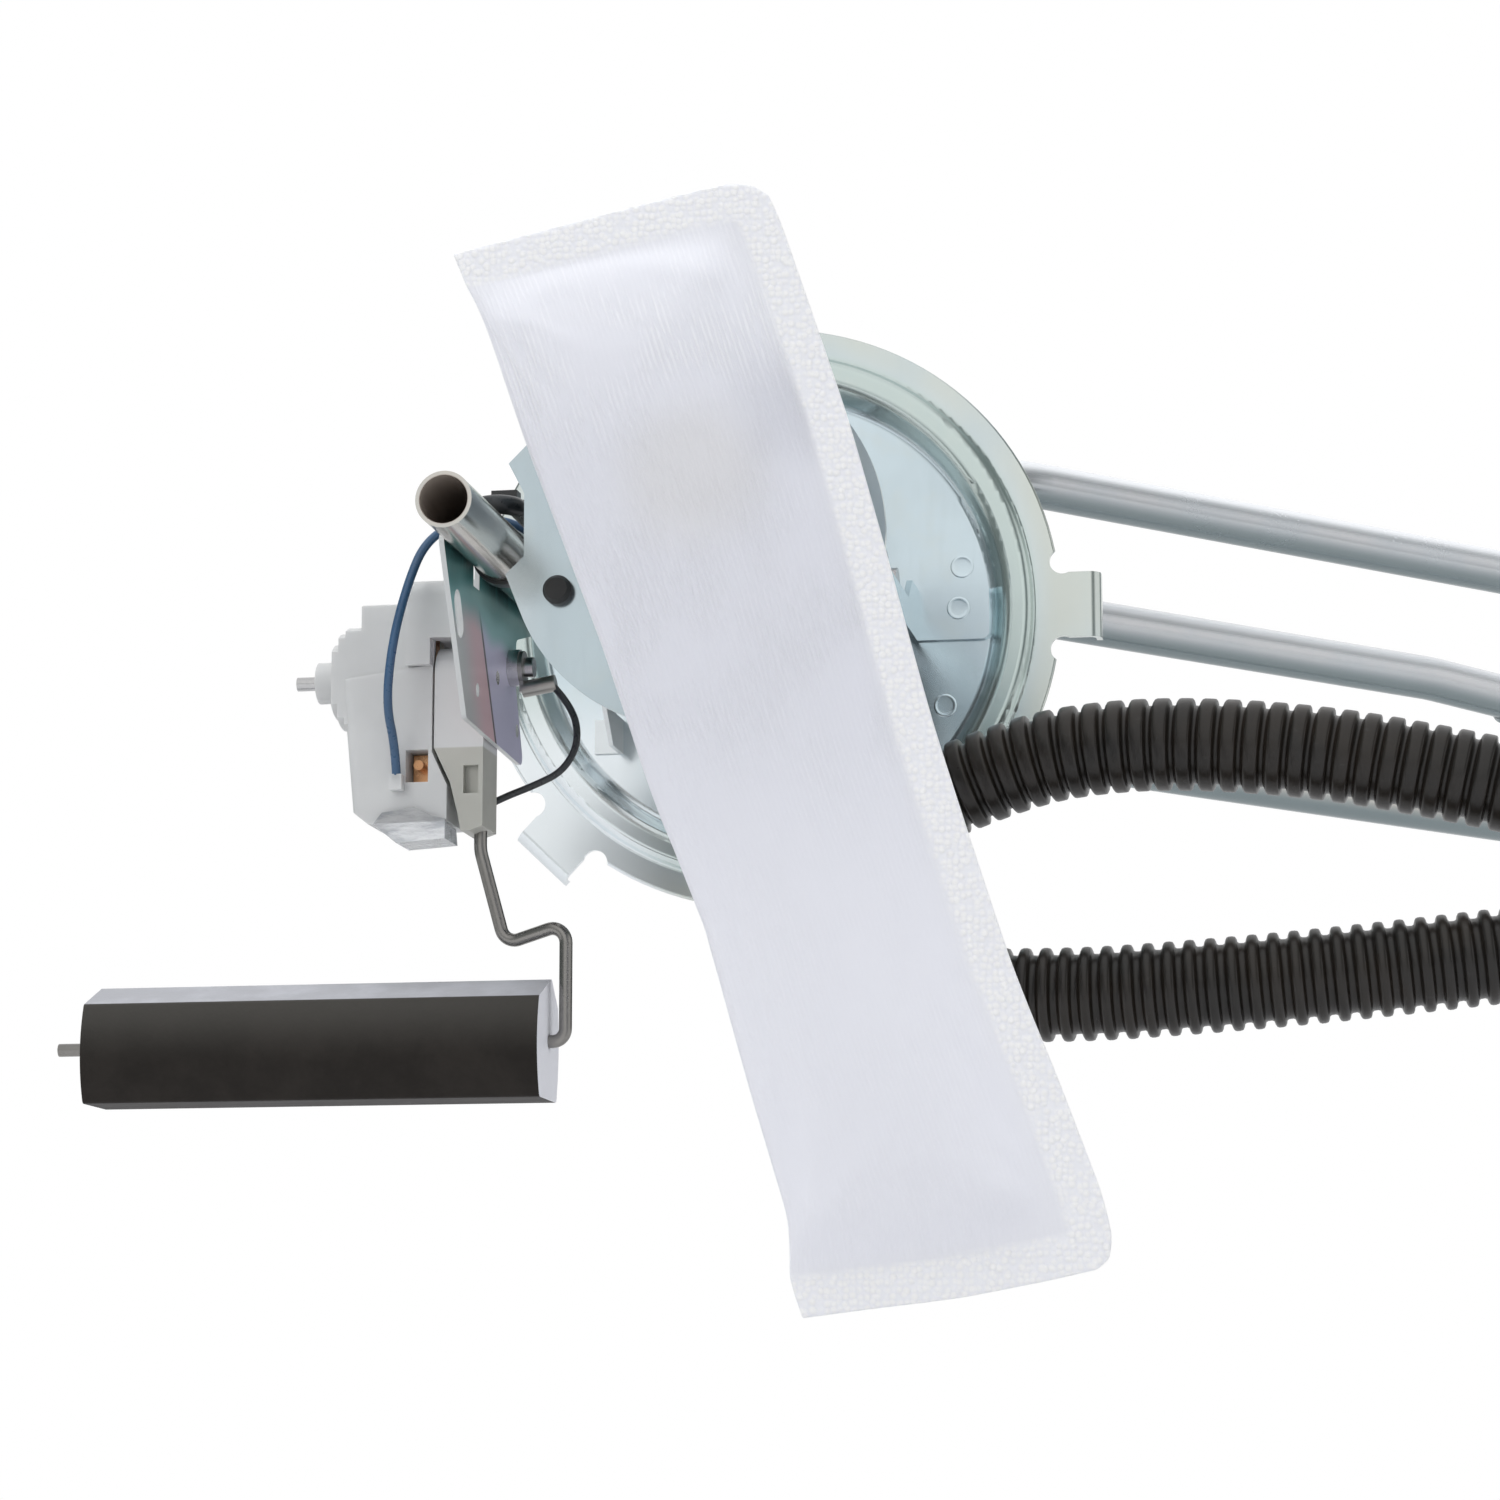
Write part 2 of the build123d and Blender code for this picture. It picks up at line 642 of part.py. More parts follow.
save("sender_body", make_sender_body())
save("sender_pin", along_x(pin_radius, pivot_y, pivot_z, -66.9, plate_x + plate_sheet))
save("arm_hub", make_arm_hub())
card = sender_recess(10.8, -42.9, -42.1) - along_x(2.45, pivot_y, pivot_z, -44, -41)
save("sender_card", card)
wiper = along_x(3.4, pivot_y, pivot_z, -41.5, hub_x0, pin_radius + 0.06)
wiper += block(-41.5, -41.2, pivot_y - 1.2, pivot_y + 1.2, pivot_z + 3.0, pivot_z + 10.0)
wiper += along_x(0.7, pivot_y, pivot_z + 9.0, -42.03, -41.4)
save("sender_wiper", wiper)
contacts = block(-45.2, -42.0, -105.6, -104.9, -51.2, -45.8)
contacts += along_y(0.9, -43.6, -48.0, -108.4, -105.0)
save("sender_contacts", contacts)
cover = plate_xz([(-50.8, -58.7), (-38.1, -58.7), (-37.8, -61.7), (-46.6, -62.3)], body_front, -102.5)
cover += plate_xz(
    [
        (-49.2, -56.9),
        (-43.4, -56.0),
        (-40.2, -57.6),
        (-37.8, -58.2),
        (-37.8, -61.7),
        (-46.6, -62.3),
        (-50.8, -58.9),
    ],
    body_front - 1.4,
    body_front,
)
save("terminal_block", cover)
save("float_arm", pipe(arm_path, arm_bends, arm_radius))
save("float", make_float())
save("float_stop", along_x(2.1, float_y, float_z, float_left - 1.5, float_left - 0.4, arm_radius + 0.01))

save("connector_body", make_connector())
x, z = connector_port
save("connector_seal", along_y(10.4, x, z, floor_y + sheet, floor_y + sheet + 1.5, 8.42))
blades = [along_y(0.78, px, pz, -6, 19) for px, pz in pin_places()]
save("connector_blades", Compound(children=blades))


blue_route = [
    (-46.6, -111.7, -51.6),
    (-46.6, -113.0, -45.5),
    (-46.6, -119.8, -39.0),
    (-45.2, -121.2, -28.0),
    (-43.4, -118.0, -17.0),
    (-42.0, -112.0, -8.5),
    (-37.5, -107.0, -3.8),
    (-30.0, -101.0, -2.2),
    (-26.0, -92.0, -4.0),
    (-25.1, -80.0, -8.1),
    (-25.1, -34.0, -8.1),
    (-22.0, -20.0, -2.0),
    (-15.8, -14.5, 9.0),
    (-14.7, -11.0, 18.4),
    (-14.8, -6.1, 19.2),
]
ground_route = [
    (-22.6, -95.5, -31.7),
    (-18.6, -95.7, -36.0),
    (-17.2, -96.6, -42.5),
    (-19.8, -97.2, -47.8),
    (-24.8, -97.2, -50.2),
    (-32.0, -97.3, -52.8),
    (-37.3, -98.0, -55.7),
]
lead_route = [
    (-1.2, -28.5, -19.5),
    (-10.0, -28.5, -19.3),
    (-16.5, -34.0, -12.0),
    (-17.6, -44.0, -7.6),
    (-21.8, -56.0, -6.6),
    (-21.8, -129.8, -6.6),
    (-28.4, -129.8, -6.6),
    (-28.4, -56.0, -6.6),
    (-27.4, -28.0, 2.0),
    (-21.0, -21.0, 14.0),
    (-12.4, -13.4, 24.2),
    (-12.0, -5.4, 24.8),
]
x, y, z = blue_route[0]
save("sender_wire", pipe(blue_route, bend_radii(blue_route), 0.8))
crimp = block(x - 1.1, x + 1.1, y - 1.1, body_front, z - 1.4, z + 1.4)
save("sender_crimp", crimp - rod(0.83, blue_route[0], blue_route[1]))
save("ground_stud", make_stud())
save("ring_terminal", make_ring_terminal() - rod(0.67, ground_route[0], ground_route[1]))
save("ground_wire", pipe(ground_route, bend_radii(ground_route), 0.65))
lead_bends = bend_radii(lead_route)
lead_bends[4:6] = [3.25, 3.25]
save("pump_lead", pipe(lead_route, lead_bends, 1.7))
plug = block(-1.0, 23.0, -32.5, -25.5, -23.0, -17.0)
for side in (-1, 1):
    plug -= along_y(0.82, pump_x + side * 9.5, pump_z - 5, -33, -29.5)
save("pump_plug", plug)
save("cable_tie", make_tie())


def make_spigot(port, knee, approach, bends, route):
    """Formed nylon spigot from the flange floor to the start of a corrugated hose."""
    x, z = port
    start = Vector(*route[0])
    step = (Vector(*route[1]) - start).normalized()
    spigot = pipe([(x, floor_y + 8, z), knee, tuple(start - step * approach), tuple(start)], bends, 5.0, 3.6)
    spigot += along_y(7.4, x, z, floor_y - 2.0, floor_y, 3.6)
    spigot += rod(8.2, tuple(start - step * 5), tuple(start), 4.9)
    return spigot


save("upper_hose_spigot", make_spigot(upper_hose_port, (8, -20, -37), 17.5, [8, 8], upper_hose_route))
save("lower_hose_spigot", make_spigot(lower_hose_port, (-8, -20, -38), 22, [10, 10], lower_hose_route))

for name, route in (("upper_hose", upper_hose_route), ("lower_hose", lower_hose_route)):
    radii = bend_radii(route)
    print(name, "bend radii", [round(r, 1) for r in radii])
    hose = pipe(route, radii, hose_radius)
    path_length = FilletPolyline(*route, radius=radii).length
    print(name, "length", round(path_length, 1), "volume", round(hose.volume), "section x length",
          round(math.pi * hose_radius**2 * path_length))
    save(name, hose)
    tip, last = Vector(*route[-1]), Vector(*route[-1]) - Vector(*route[-2])
    step = last.normalized()
    end = rod(9.6, route[-1], tuple(tip + step * 6)) + rod(6.0, tuple(tip + step * 6), tuple(tip + step * 14))
    end -= rod(4.5, route[-1], tuple(tip + step * 14))
    save(f"{name}_end", end)
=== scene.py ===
"""Fuel pump module: finishes, soft parts and studio for the assembled hanger, pump, strainer and level sender."""
import math

import bmesh
import bpy
from bpy.props import FloatProperty, FloatVectorProperty, IntProperty, PointerProperty
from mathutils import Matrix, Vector


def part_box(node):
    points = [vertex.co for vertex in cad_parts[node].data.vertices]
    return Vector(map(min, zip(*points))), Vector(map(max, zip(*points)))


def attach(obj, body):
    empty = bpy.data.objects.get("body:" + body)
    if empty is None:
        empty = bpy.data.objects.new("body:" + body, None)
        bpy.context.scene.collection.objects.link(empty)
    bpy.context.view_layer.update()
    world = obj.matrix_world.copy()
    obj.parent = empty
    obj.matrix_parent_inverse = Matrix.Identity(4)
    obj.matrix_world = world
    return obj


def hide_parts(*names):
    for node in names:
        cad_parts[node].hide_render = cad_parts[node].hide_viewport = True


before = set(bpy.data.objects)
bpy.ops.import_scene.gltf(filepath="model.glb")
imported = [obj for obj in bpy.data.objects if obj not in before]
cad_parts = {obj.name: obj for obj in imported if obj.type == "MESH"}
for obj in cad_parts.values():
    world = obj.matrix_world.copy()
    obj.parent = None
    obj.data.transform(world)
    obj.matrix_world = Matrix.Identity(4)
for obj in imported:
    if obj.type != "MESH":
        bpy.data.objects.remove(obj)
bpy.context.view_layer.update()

bl_info = {
    "name": "Fuel Pump Module",
    "version": (1, 0, 0),
    "blender": (4, 5, 0),
    "location": "3D View > Sidebar > Fuel Pump",
    "description": "Builds the strainer, hoses, wires and finishes of a fuel pump module",
    "category": "Object",
}

MM = 0.001
LENGTH = {"unit": "LENGTH"}
COLOUR = {"subtype": "COLOR", "min": 0.0, "max": 1.0}

# Control points of the flexible runs, in metres
UPPER_HOSE_ROUTE = [
    (0.0260, -0.0390, -0.0506),
    (0.0520, -0.0410, -0.0394),
    (0.0760, -0.0430, -0.0362),
    (0.1040, -0.0440, -0.0380),
    (0.1300, -0.0444, -0.0426),
    (0.1560, -0.0440, -0.0490),
]
LOWER_HOSE_ROUTE = [
    (0.0300, -0.0490, -0.0832),
    (0.0600, -0.0500, -0.0848),
    (0.0920, -0.0504, -0.0833),
    (0.1240, -0.0500, -0.0808),
    (0.1550, -0.0490, -0.0776),
]
SENDER_WIRE_ROUTE = [
    (-0.0466, -0.1117, -0.0516),
    (-0.0466, -0.1130, -0.0455),
    (-0.0466, -0.1198, -0.0390),
    (-0.0452, -0.1212, -0.0280),
    (-0.0434, -0.1180, -0.0170),
    (-0.0420, -0.1120, -0.0085),
    (-0.0375, -0.1070, -0.0038),
    (-0.0300, -0.1010, -0.0022),
    (-0.0260, -0.0920, -0.0040),
    (-0.0251, -0.0800, -0.0081),
    (-0.0251, -0.0340, -0.0081),
    (-0.0220, -0.0200, -0.0020),
    (-0.0158, -0.0145, 0.0090),
    (-0.0147, -0.0110, 0.0184),
    (-0.0148, -0.0061, 0.0192),
]
GROUND_WIRE_ROUTE = [
    (-0.0226, -0.0955, -0.0317),
    (-0.0186, -0.0957, -0.0360),
    (-0.0172, -0.0966, -0.0425),
    (-0.0198, -0.0972, -0.0478),
    (-0.0248, -0.0972, -0.0502),
    (-0.0320, -0.0973, -0.0528),
    (-0.0373, -0.0980, -0.0557),
]

# Outline of the strainer bag, as (x, z) in mm along each of its four edges
BAG_TOP = [(-25.4, 29.2), (-1.2, 34.4), (14.8, 37.7), (21.2, 38.8), (25.2, 38.3), (28.0, 36.4)]
BAG_RIGHT = [
    (28.0, 36.4), (30.4, 30.6), (40.6, -0.5), (46.2, -20.7), (54.9, -53.8), (66.5, -90.9),
    (74.1, -110.7), (80.1, -127.1), (81.8, -134.1), (81.4, -138.0), (79.4, -139.7),
]
BAG_BOTTOM = [(33.2, -146.9), (42.0, -145.8), (58.1, -143.9), (72.1, -141.3), (79.4, -139.7)]
BAG_LEFT = [
    (-25.4, 29.2), (-23.2, 23.9), (-18.8, 14.2), (-11.8, -6.5), (0.2, -38.8), (8.6, -63.8),
    (16.8, -85.0), (24.1, -109.2), (28.1, -121.8), (31.0, -131.3), (31.2, -140.5), (33.2, -146.9),
]

# Where the inlet hub presses against the front of the bag: the middle of the hub's painted shadow on the cloth
HUB_SHADOW = (0.016, -0.1640, -0.0115)
# Middle of the soft hollow beside the hub, and of the painted shade in it
HOLLOW_SHADE = (0.0345, -0.1640, 0.0010)
# Centre, as (x, z), and radius of the return line's bore
RETURN_BORE = (-0.0253, -0.0138, 0.00406)

# Rise of one rib over its pitch, from the root (0) to the crest (1)
UPPER_RIB = [
    (0.03, 0.97), (0.08, 0.76), (0.12, 0.24), (0.16, 0.04), (0.29, 0.0), (0.36, 0.12), (0.41, 0.60),
    (0.48, 0.90), (0.57, 1.0), (0.76, 1.0), (0.93, 1.0),
]
LOWER_RIB = [
    (0.04, 0.90), (0.10, 0.60), (0.14, 0.18), (0.22, 0.03), (0.42, 0.0), (0.52, 0.12), (0.57, 0.58),
    (0.64, 0.90), (0.74, 1.0), (0.90, 1.0),
]
# Plain length at each end of a hose, and the rings along its bore
CUFF = 1.2 * MM
BORE_STEPS = 24

# How far in from the seam the bag reaches its full thickness, how far the fold is rounded and how wide the
# change from seam to cloth is, in mm
BAG_RISE = 10.0
FOLD_ROUND = 8.0
SEAM_FADE = 1.4
# Shallow dip beside the hub: its share of the thickness, and its place and spread as shares across and along
DIP_DEPTH = 0.30
DIP_PLACE = (0.76, 0.33)
DIP_SPREAD = (0.07, 0.14)
# Width and length of the cloth in its UV map, in decimetres
CLOTH_SIZE = (0.54, 1.86)
# Steps and values of the simulation that blows the bag out
CLOTH_FRAMES = 16
CLOTH = {
    "quality": 6,
    "mass": 0.12,
    "tension_stiffness": 18,
    "compression_stiffness": 12,
    "bending_stiffness": 0.6,
    "use_pressure": True,
    "uniform_pressure_force": 3.0,
    "vertex_group_mass": "held",
}

# Section of a weld mark: share of its radius, and height in mm
WELD_PROFILE = [(1.0, 0.0), (0.94, 0.05), (0.86, 0.08), (0.76, 0.04), (0.6, 0.02), (0.0, 0.02)]
# Where the face of the flange's floor lies, and the thickness of the strut's sheet
FLOOR_FACE = 4.0 * MM
STRUT_SHEET = 1.2 * MM


# ---------------------------------------------------------------- settings

class StudioSettings(bpy.types.PropertyGroup):
    camera_place: FloatVectorProperty(
        name="Camera place", description="Where the camera stands", default=(0.1349, -0.7836, -0.1680),
        subtype="XYZ", **LENGTH)
    camera_azimuth: FloatProperty(
        name="Camera azimuth", description="How far the camera stands round to the right",
        default=math.radians(10), subtype="ANGLE")
    camera_elevation: FloatProperty(
        name="Camera elevation", description="How far the camera stands above the level",
        default=math.radians(-10), subtype="ANGLE")
    lens: FloatProperty(name="Lens", description="Focal length in millimetres", default=96.0, min=10.0)
    key_power: FloatProperty(name="Key lamp", description="Power of the overhead soft box", default=6.0, unit="POWER")
    fill_power: FloatProperty(name="Fill lamp", description="Power of the front soft box", default=2.6, unit="POWER")
    side_power: FloatProperty(name="Side lamp", description="Power of the side soft box", default=1.8, unit="POWER")
    sky_level: FloatProperty(name="Room light", description="Level of the even light of the room", default=0.5)
    floor_height: FloatProperty(name="Floor height", description="Height of the studio floor", default=-0.215, **LENGTH)
    floor_radius: FloatProperty(name="Floor radius", description="Radius of the studio floor", default=1.8, **LENGTH)
    floor_colour: FloatVectorProperty(
        name="Floor colour", description="Colour of the studio floor", default=(0.86, 0.86, 0.87), **COLOUR)


class HoseSettings(bpy.types.PropertyGroup):
    diameter: FloatProperty(
        name="Hose diameter", description="Outside diameter over the crests", default=17.4 * MM, **LENGTH)
    root_diameter: FloatProperty(
        name="Root diameter", description="Diameter at the bottom of the grooves", default=14.6 * MM, **LENGTH)
    bore: FloatProperty(name="Bore", description="Inside diameter of the hose", default=11.0 * MM, **LENGTH)
    upper_pitch: FloatProperty(
        name="Upper rib pitch", description="Distance between ribs of the upper hose", default=4.2 * MM, **LENGTH)
    lower_pitch: FloatProperty(
        name="Lower rib pitch", description="Distance between ribs of the lower hose", default=3.75 * MM, **LENGTH)
    segments: IntProperty(name="Segments", description="Faces round each rib", default=56, min=12)
    colour: FloatVectorProperty(
        name="Hose colour", description="Colour of the hose plastic", default=(0.0135, 0.012, 0.0105), **COLOUR)


class WireSettings(bpy.types.PropertyGroup):
    sender_wire: FloatProperty(
        name="Sender wire", description="Diameter of the sender wire", default=1.6 * MM, **LENGTH)
    ground_wire: FloatProperty(
        name="Ground wire", description="Diameter of the ground wire", default=1.3 * MM, **LENGTH)
    sender_colour: FloatVectorProperty(
        name="Sender wire colour", description="Colour of the sender wire's sleeve", default=(0.045, 0.105, 0.20),
        **COLOUR)
    ground_colour: FloatVectorProperty(
        name="Ground wire colour", description="Colour of the ground wire's sleeve", default=(0.03, 0.034, 0.038),
        **COLOUR)


class BagSettings(bpy.types.PropertyGroup):
    seam_width: FloatProperty(name="Seam width", description="Width of the welded seam", default=6.3 * MM, **LENGTH)
    seam_thickness: FloatProperty(
        name="Seam thickness", description="Thickness of the welded seam", default=0.8 * MM, **LENGTH)
    thickness: FloatProperty(
        name="Bag thickness", description="Thickness of the bag before it is blown out", default=8.6 * MM, **LENGTH)
    billow: FloatProperty(name="Billow", description="How far the cloth may swell", default=2.4 * MM, **LENGTH)
    across: IntProperty(name="Columns", description="Faces across the bag", default=54, min=12)
    along: IntProperty(name="Rows", description="Faces along the bag", default=150, min=24)
    rib_pitch: FloatProperty(
        name="Weave rib pitch", description="Distance between the ribs of the weave", default=0.88 * MM, **LENGTH)
    stud_pitch: FloatProperty(
        name="Seam stud pitch", description="Distance between the pressed studs of the seam",
        default=1.05 * MM, **LENGTH)
    colour: FloatVectorProperty(
        name="Cloth colour", description="Colour of the strainer cloth", default=(0.89, 0.90, 0.96), **COLOUR)


class MetalSettings(bpy.types.PropertyGroup):
    zinc_blue: FloatVectorProperty(
        name="Zinc, cool", description="Cooler colour of the zinc plating", default=(0.60, 0.70, 0.745), **COLOUR)
    zinc_green: FloatVectorProperty(
        name="Zinc, warm", description="Warmer colour of the zinc plating", default=(0.67, 0.71, 0.665), **COLOUR)
    line_colour: FloatVectorProperty(
        name="Line steel", description="Colour of the drawn steel lines", default=(0.68, 0.69, 0.71), **COLOUR)
    weld_diameter: FloatProperty(
        name="Weld spot", description="Diameter of a spot weld's mark", default=4.8 * MM, **LENGTH)


class PlasticSettings(bpy.types.PropertyGroup):
    nylon: FloatVectorProperty(
        name="Natural nylon", description="Colour of the sender's body", default=(0.62, 0.63, 0.63), **COLOUR)
    grey_nylon: FloatVectorProperty(
        name="Grey nylon", description="Colour of the arm's hub", default=(0.47, 0.47, 0.43), **COLOUR)
    foam: FloatVectorProperty(
        name="Float", description="Colour of the float's closed-cell foam", default=(0.019, 0.0165, 0.0145), **COLOUR)


# ---------------------------------------------------------------- node helpers

def new_finish(name):
    """An empty material with one principled shader, and its node tree."""
    material = bpy.data.materials.new(name)
    material.use_nodes = True
    return material, material.node_tree


def finished(material, sockets):
    """Feeds the shader's sockets: a link for what varies, and a plain value for what doesn't."""
    shader = material.node_tree.nodes["Principled BSDF"]
    for name, value in sockets.items():
        feed(material.node_tree, shader.inputs[name], value)
    return material


def under_colour(material):
    """A finish's node tree, and the colour that feeds its shader so far."""
    tree = material.node_tree
    return tree, tree.nodes["Principled BSDF"].inputs["Base Color"].links[0].from_socket


def put(tree, kind, inputs=None, **values):
    """Adds a node, sets its values, and sets or links its inputs."""
    node = tree.nodes.new("ShaderNode" + kind)
    for name, value in values.items():
        setattr(node, name, value)
    for name, value in (inputs or {}).items():
        feed(tree, node.inputs[name], value)
    return node


def feed(tree, socket, value):
    """Links a socket to another, or sets its plain value."""
    if isinstance(value, bpy.types.NodeSocket):
        tree.links.new(value, socket)
    elif socket.type == "RGBA" and len(value) == 3:
        socket.default_value = (*value, 1.0)
    else:
        socket.default_value = value


def calc(tree, operation, a, b=0.0, c=0.0):
    return put(tree, "Math", {0: a, 1: b, 2: c}, operation=operation).outputs[0]


def product(tree, first, second):
    return calc(tree, "MULTIPLY", first, second)


def scaled(tree, value, factor, offset):
    return calc(tree, "MULTIPLY_ADD", value, factor, offset)


def place(tree):
    return put(tree, "TexCoord").outputs["Object"]


def parted(tree, vector):
    """The x, y and z of a vector."""
    return put(tree, "SeparateXYZ", {0: vector}).outputs


def facing(tree):
    """The x, y and z of the way a face points."""
    return parted(tree, put(tree, "NewGeometry").outputs["Normal"])


def flattened(tree, parts):
    """A place seen from the front: its x and z, with y left out."""
    return put(tree, "CombineXYZ", {0: parts[0], 2: parts[2]}).outputs[0]


def reach_from(tree, where, centre):
    return put(tree, "VectorMath", {0: where, 1: centre}, operation="DISTANCE").outputs["Value"]


def stretched(tree, vector, scale, turn=(0.0, 0.0, 0.0)):
    return put(tree, "Mapping", {"Vector": vector, "Scale": scale, "Rotation": turn}).outputs[0]


def grain(tree, vector, scale, detail, roughness):
    node = put(tree, "TexNoise", {"Vector": vector, "Scale": scale, "Detail": detail, "Roughness": roughness})
    return node.outputs[0]


def blended(tree, factor, first, second):
    """From the first colour to the second as the factor goes from 0 to 1."""
    node = put(tree, "Mix", data_type="RGBA")
    colours = [socket for socket in node.inputs if socket.type == "RGBA"]
    for socket, value in zip((node.inputs[0], *colours), (factor, first, second)):
        feed(tree, socket, value)
    return next(socket for socket in node.outputs if socket.type == "RGBA")


def faded(tree, value, low, high, out_low=0.0, out_high=1.0):
    """A soft step from one level to another as the value goes from low to high."""
    node = put(tree, "MapRange", {0: value, 1: low, 2: high, 3: out_low, 4: out_high}, interpolation_type="SMOOTHSTEP")
    return node.outputs[0]


def relief(tree, height, distance, strength, after=None):
    inputs = {"Height": height, "Distance": distance, "Strength": strength}
    if after is not None:
        inputs["Normal"] = after
    return put(tree, "Bump", inputs).outputs[0]


def toned(colour, factor):
    """A colour multiplied by one factor, or by one for each channel."""
    factors = factor if isinstance(factor, tuple) else (factor,) * 3
    return tuple(min(1.0, channel * times) for channel, times in zip(colour, factors))


def banded(tree, factor, stops):
    """A colour ramp through (position, colour) stops."""
    node = put(tree, "ValToRGB", {0: factor})
    ramp = node.color_ramp
    ramp.elements[0].position, ramp.elements[0].color = stops[0][0], (*stops[0][1], 1.0)
    ramp.elements[1].position, ramp.elements[1].color = stops[-1][0], (*stops[-1][1], 1.0)
    for position, colour in stops[1:-1]:
        ramp.elements.new(position).color = (*colour, 1.0)
    return node.outputs[0]


def ray_masks(tree):
    """Masks of the rays seen straight or through clear plastic, and of those and the mirrored ones."""
    path = put(tree, "LightPath").outputs
    seen = calc(tree, "MAXIMUM", path["Is Camera Ray"], path["Is Transmission Ray"])
    return seen, calc(tree, "MAXIMUM", seen, path["Is Glossy Ray"])


# ---------------------------------------------------------------- finishes

def steel_finish(name, colour, roughness, tint=(1.0, 1.0, 1.0), streak=(1.0, 1.0, 1.0), relief_mm=0.02, wear=0.16):
    """Bare or plated metal: cloudy colour, fine streaks in the gloss and a faint rolled grain."""
    material, tree = new_finish(name)
    where = place(tree)
    cloud = grain(tree, where, 38.0, 4.0, 0.6)
    lines = grain(tree, stretched(tree, where, streak), 1500.0, 3.0, 0.7)
    base = blended(tree, faded(tree, cloud, 0.38, 0.64), colour, toned(colour, tint))
    base = blended(tree, faded(tree, lines, 0.3, 0.75, 0.0, wear), base, toned(colour, 0.75))
    gloss = scaled(tree, lines, 0.10, roughness - 0.05)
    return finished(material, {
        "Base Color": base,
        "Metallic": 1.0,
        "Roughness": calc(tree, "ADD", gloss, faded(tree, cloud, 0.35, 0.7, -0.02, 0.03)),
        "Normal": relief(tree, lines, relief_mm * MM, 0.12),
    })


def zinc_plate(name, settings, shade=1.0):
    """Clear-passivated zinc on pressed sheet: blue and straw bloom in rings, dull water marks, a rolled grain, and
    painted light that turns its lower left nearly white.
    """
    material, tree = new_finish(name)
    where = place(tree)
    parts = parted(tree, where)
    radius = reach_from(tree, flattened(tree, parts), (0.0, 0.0, 0.0))
    cloud = grain(tree, where, 30.0, 3.0, 0.5)
    marks = grain(tree, where, 140.0, 3.0, 0.6)
    rolled = grain(tree, stretched(tree, where, (1.0, 1.0, 0.12)), 700.0, 1.0, 0.5)
    cool, warm = toned(settings.zinc_blue, shade), toned(settings.zinc_green, shade)
    rim = product(tree, faded(tree, radius, 0.050, 0.060), faded(tree, cloud, 0.3, 0.6, 0.45, 1.0))
    wall = product(tree, faded(tree, radius, 0.0460, 0.0475), faded(tree, radius, 0.0560, 0.0545))
    # Painted light: the lower left of the sheet is painted nearly white, as where it is brightly lit.
    painted_light_corner = product(tree, faded(tree, parts[0], -0.012, -0.032), faded(tree, parts[2], -0.008, -0.030))
    base = blended(tree, faded(tree, cloud, 0.36, 0.62), cool, toned(cool, 1.12))
    for mask, colour in (
        (rim, warm),
        (wall, (0.60, 0.69, 0.665)),
        (faded(tree, marks, 0.5, 0.75, 0.0, 0.2), toned(warm, 1.05)),
        (faded(tree, rolled, 0.4, 0.8, 0.0, 0.08), toned(cool, 0.8)),
        (product(tree, painted_light_corner, 0.85), (0.92, 0.97, 1.0)),
    ):
        base = blended(tree, mask, base, colour)
    return finished(material, {
        "Base Color": base,
        "Metallic": 0.92,
        "Roughness": scaled(tree, marks, 0.06, 0.17),
        "Normal": relief(tree, grain(tree, where, 22.0, 1.0, 0.4), 0.25 * MM, 0.15),
    })


def rainbow_plate(name):
    """Iridescent zinc: teal at the top, where painted shade under the strut darkens it to near black in streaks; rose
    and lilac below on either side of a pressed line, which is painted dark as the shade in its groove.
    """
    material, tree = new_finish(name)
    where = place(tree)
    _, depth, height = parted(tree, where)
    cloud = grain(tree, where, 90.0, 4.0, 0.6)
    # Distance across the bracket from its pressed line
    aside = scaled(tree, depth, 0.849, scaled(tree, height, 0.528, 0.1132))
    # Painted shade: the pressed line is painted nearly black, as the shade in its groove.
    line = product(tree, faded(tree, calc(tree, "ABSOLUTE", aside), 0.0007, 0.0003),
                   faded(tree, height, -0.0215, -0.0235))
    lower = blended(tree, faded(tree, aside, -0.016, -0.004), (0.66, 0.67, 0.66), (0.86, 0.60, 0.64))
    lower = blended(tree, faded(tree, aside, -0.0003, 0.0006), lower, (0.72, 0.70, 0.90))
    lower = blended(tree, line, lower, (0.10, 0.07, 0.085))
    # Painted shade under the strut: towards the top the teal darkens, then goes near black in streaks.
    up = calc(tree, "ADD", height, scaled(tree, grain(tree, where, 70.0, 1.0, 0.4), 0.006, -0.003))
    shade_streaks = grain(tree, stretched(tree, where, (1.0, 1.0, 0.25)), 650.0, 2.0, 0.6)
    painted_shade_under_strut = product(tree, faded(tree, up, -0.0205, -0.0150), faded(tree, shade_streaks, 0.25, 0.55, 0.55, 1.0))
    upper = blended(tree, faded(tree, up, -0.0235, -0.0190), (0.32, 0.62, 0.62), (0.10, 0.32, 0.32))
    upper = blended(tree, painted_shade_under_strut, upper, (0.015, 0.04, 0.045))
    flank = faded(tree, calc(tree, "ABSOLUTE", facing(tree)[0]), 0.7, 0.4)
    base = blended(tree, faded(tree, up, -0.0280, -0.0235), lower, upper)
    base = blended(tree, flank, base, (0.62, 0.64, 0.64))
    base = blended(tree, faded(tree, depth, -0.085, -0.070), base, (0.86, 0.90, 0.91))
    return finished(material, {
        "Base Color": base, "Metallic": 0.25, "Roughness": scaled(tree, cloud, 0.15, 0.25)})


